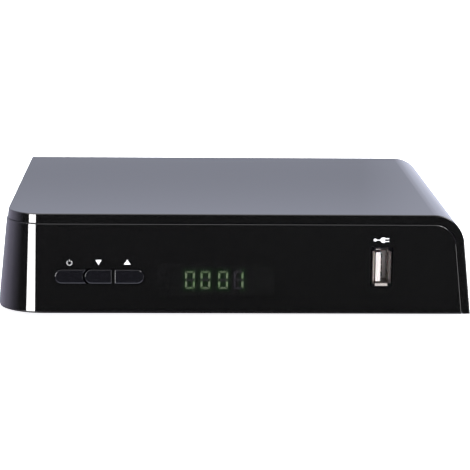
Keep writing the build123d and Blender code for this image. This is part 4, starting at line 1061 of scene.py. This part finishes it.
def nut_tree():
    """Mills six flats on a turned nut blank whose bore runs along Z."""
    tree, given = new_tree("mill six flats", ["Corners"])
    hexagon = add(tree, "GeometryNodeMeshCylinder", {
        "Vertices": 6, "Radius": given["Corners"], "Depth": 20 * MM,
    }).outputs[0]
    milled = add(tree, "GeometryNodeMeshBoolean", {
        1: [given["Geometry"], hexagon],
    }, operation="INTERSECT", solver="MANIFOLD").outputs[0]
    close_tree(tree, milled, given["Material"])
    return tree


def repeat_tree():
    """Stands a blank on every vertex, turned about its own axis by up to a given angle."""
    tree, given = new_tree("repeat a blank", ["Turn"], blank=True)
    blank = add(tree, "GeometryNodeObjectInfo", {"Object": given["Blank"]}).outputs["Geometry"]
    turn = add(tree, "FunctionNodeRandomValue", {
        3: given["Turn"], "Seed": 7,
    }, data_type="FLOAT").outputs[1]
    rotation = add(tree, "ShaderNodeCombineXYZ", {"Z": turn}).outputs[0]
    stood = add(tree, "GeometryNodeInstanceOnPoints", {
        "Points": given["Geometry"], "Instance": blank, "Rotation": rotation,
    }).outputs[0]
    close_tree(tree, stood, given["Material"])
    return tree


crosses, nuts, repeats = cross_tree(), nut_tree(), repeat_tree()


def repeated(blank, places, axis, finish_name, turn=2 * math.pi):
    """One mesh of copies of a blank that stands along Z, each at a place and along an axis."""
    tilt = Vector(axis).to_track_quat("Z", "Y")
    points = bpy.data.meshes.new("places")
    points.from_pydata([tilt.inverted() @ place for place in places], [], [])
    carrier = workpiece(blank)
    mesh = run_tree(points, repeats, {
        "Blank": carrier, "Turn": turn, "Material": finishes[finish_name],
    })
    bpy.data.objects.remove(carrier)
    mesh.transform(tilt.to_matrix().to_4x4())
    return mesh


def feet_of(node, axis):
    """The foot of each separate solid's middle line along an axis, and the first one's length."""
    axis = Vector(axis)
    boxes = islands(node)
    lengths = [abs((high - low).dot(axis)) for low, high in boxes]
    feet = [(low + high) / 2 - axis * length / 2 for (low, high), length in zip(boxes, lengths)]
    return feet, lengths[0]


print("trees:", ", ".join(tree.name for tree in bpy.data.node_groups))

# %% Screws, nuts and feet
HEAD_MM = 1.6
SCREW_RADIUS = 1.25
SCREWS = {  # which way each kind's heads point
    "case_screws": (0, 0, -1), "panel_screws": (0, 1, 0),
    "front_board_screws": (0, 1, 0), "board_screws": (0, 0, 1),
}
for node, axis in SCREWS.items():
    spots, length = feet_of(node, axis)
    seat = length / MM - HEAD_MM
    profile = [
        (0, 0), (0.9, 0), (SCREW_RADIUS, 0.5), (SCREW_RADIUS, seat), (2.4, seat),
        (2.4, seat + 0.8), (2.25, seat + 1.2), (1.8, seat + 1.48), (1.0, seat + HEAD_MM),
        (0, seat + HEAD_MM),
    ]
    blank = run_tree(turned(profile, axis="Z", steps=48), crosses, {
        "Top": (seat + HEAD_MM) * MM, "Reach": 2.6 * MM, "Width": 0.6 * MM, "Depth": 0.9 * MM,
        "Material": finishes["screw_steel"],
    })
    mesh = repeated(blank, spots, axis, "screw_steel")
    add_piece(node[:-1] + "_set", mesh, "screw_steel", replaces=[node])
    print(len(spots), node, "with", len(mesh.polygons), "faces")

NUT_BORE = 4.45
NUT_CORNERS = 6.35  # half the width over its corners
nut_spots, nut_length = feet_of("lnb_nuts", (0, 1, 0))
nut_profile = [
    (NUT_BORE, 0), (6.6, 0), (6.6, NUT_MM - 0.6), (5.5, NUT_MM), (NUT_BORE + 0.25, NUT_MM),
    (NUT_BORE, NUT_MM - 0.25),
]
nut_blank = run_tree(turned(nut_profile, axis="Z", steps=96), nuts, {
    "Corners": NUT_CORNERS * MM, "Material": finishes["nickel"],
})
nut_set = repeated(nut_blank, nut_spots, (0, 1, 0), "nickel")
add_piece("lnb_nut_set", nut_set, "nickel", replaces=["lnb_nuts"])

foot_spots, foot_length = feet_of("rubber_feet", (0, 0, 1))
foot_top = foot_length / MM
foot_profile = [
    (0, 0.25), (2.0, 0.25), (2.2, 0), (3.0, 0), (3.2, 0.25), (3.9, 0.25), (4.1, 0), (5.5, 0),
    (5.85, 0.12), (6.0, 0.4), (6.0, foot_top), (0, foot_top),
]
foot_set = repeated(turned(foot_profile, axis="Z", steps=72), foot_spots, (0, 0, 1), "foot_rubber")
add_piece("foot_set", foot_set, "foot_rubber", replaces=["rubber_feet"])
print(len(nut_spots), "nuts of", round(nut_length / MM, 2), "mm and", len(foot_spots), "feet")

# %% [markdown]
# ## Contacts in the sockets behind
# Behind each slit of the SCART socket stands a blade, and the tongue of the video socket
# carries ten strips above and nine below. The same tree makes these rows, without a turn.

# %% Rows of contacts


def slab(width, depth, height):
    """A plain box round the origin, in millimetres."""
    solid = bmesh.new()
    bmesh.ops.create_cube(solid, size=1.0)
    bmesh.ops.scale(solid, vec=Vector((width, depth, height)) * MM, verts=solid.verts)
    return meshed(solid, "slab")


BLADE = (0.35, 5.0, 2.6)  # thickness, length and height
STRIP = (0.4, 6.6, 0.08)  # width, length and height
STRIP_PROUD = 0.02
SLIT_PITCH = 3.8
SLIT_RISE = 3.12  # from the socket's middle to each row
scart = middle("scart_socket")
blade_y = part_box("scart_socket")[1].y - 3.4 * MM  # deep in the slits
blade_places = [
    Vector((scart.x + (number - 4.5) * SLIT_PITCH * MM, blade_y, scart.z + rise * MM))
    for rise in (-SLIT_RISE, SLIT_RISE)
    for number in range(10)
]
blades = repeated(slab(*BLADE), blade_places, (0, 0, 1), "contact_gold", turn=0.0)
add_piece("scart_blades", blades, "contact_gold")
tongue = middle("video_tongue")
tongue_low, tongue_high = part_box("video_tongue")
strip_places = [
    Vector((tongue.x + (number - (count - 1) / 2) * MM, tongue_high.y - 3.6 * MM, up))
    for count, up in ((10, tongue_high.z + STRIP_PROUD * MM), (9, tongue_low.z - STRIP_PROUD * MM))
    for number in range(count)
]
strips = repeated(slab(*STRIP), strip_places, (0, 0, 1), "contact_gold", turn=0.0)
add_piece("video_strips", strips, "contact_gold")
print(len(blade_places), "blades and", len(strip_places), "strips")

# %% Measure and finish
boxes = {"cad": cad_box, "visual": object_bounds()}
growth = [round((b - a) / MM, 3) for a, b in zip(cad_box[1], boxes["visual"][1])]
print("visual box grows by", growth, "mm")
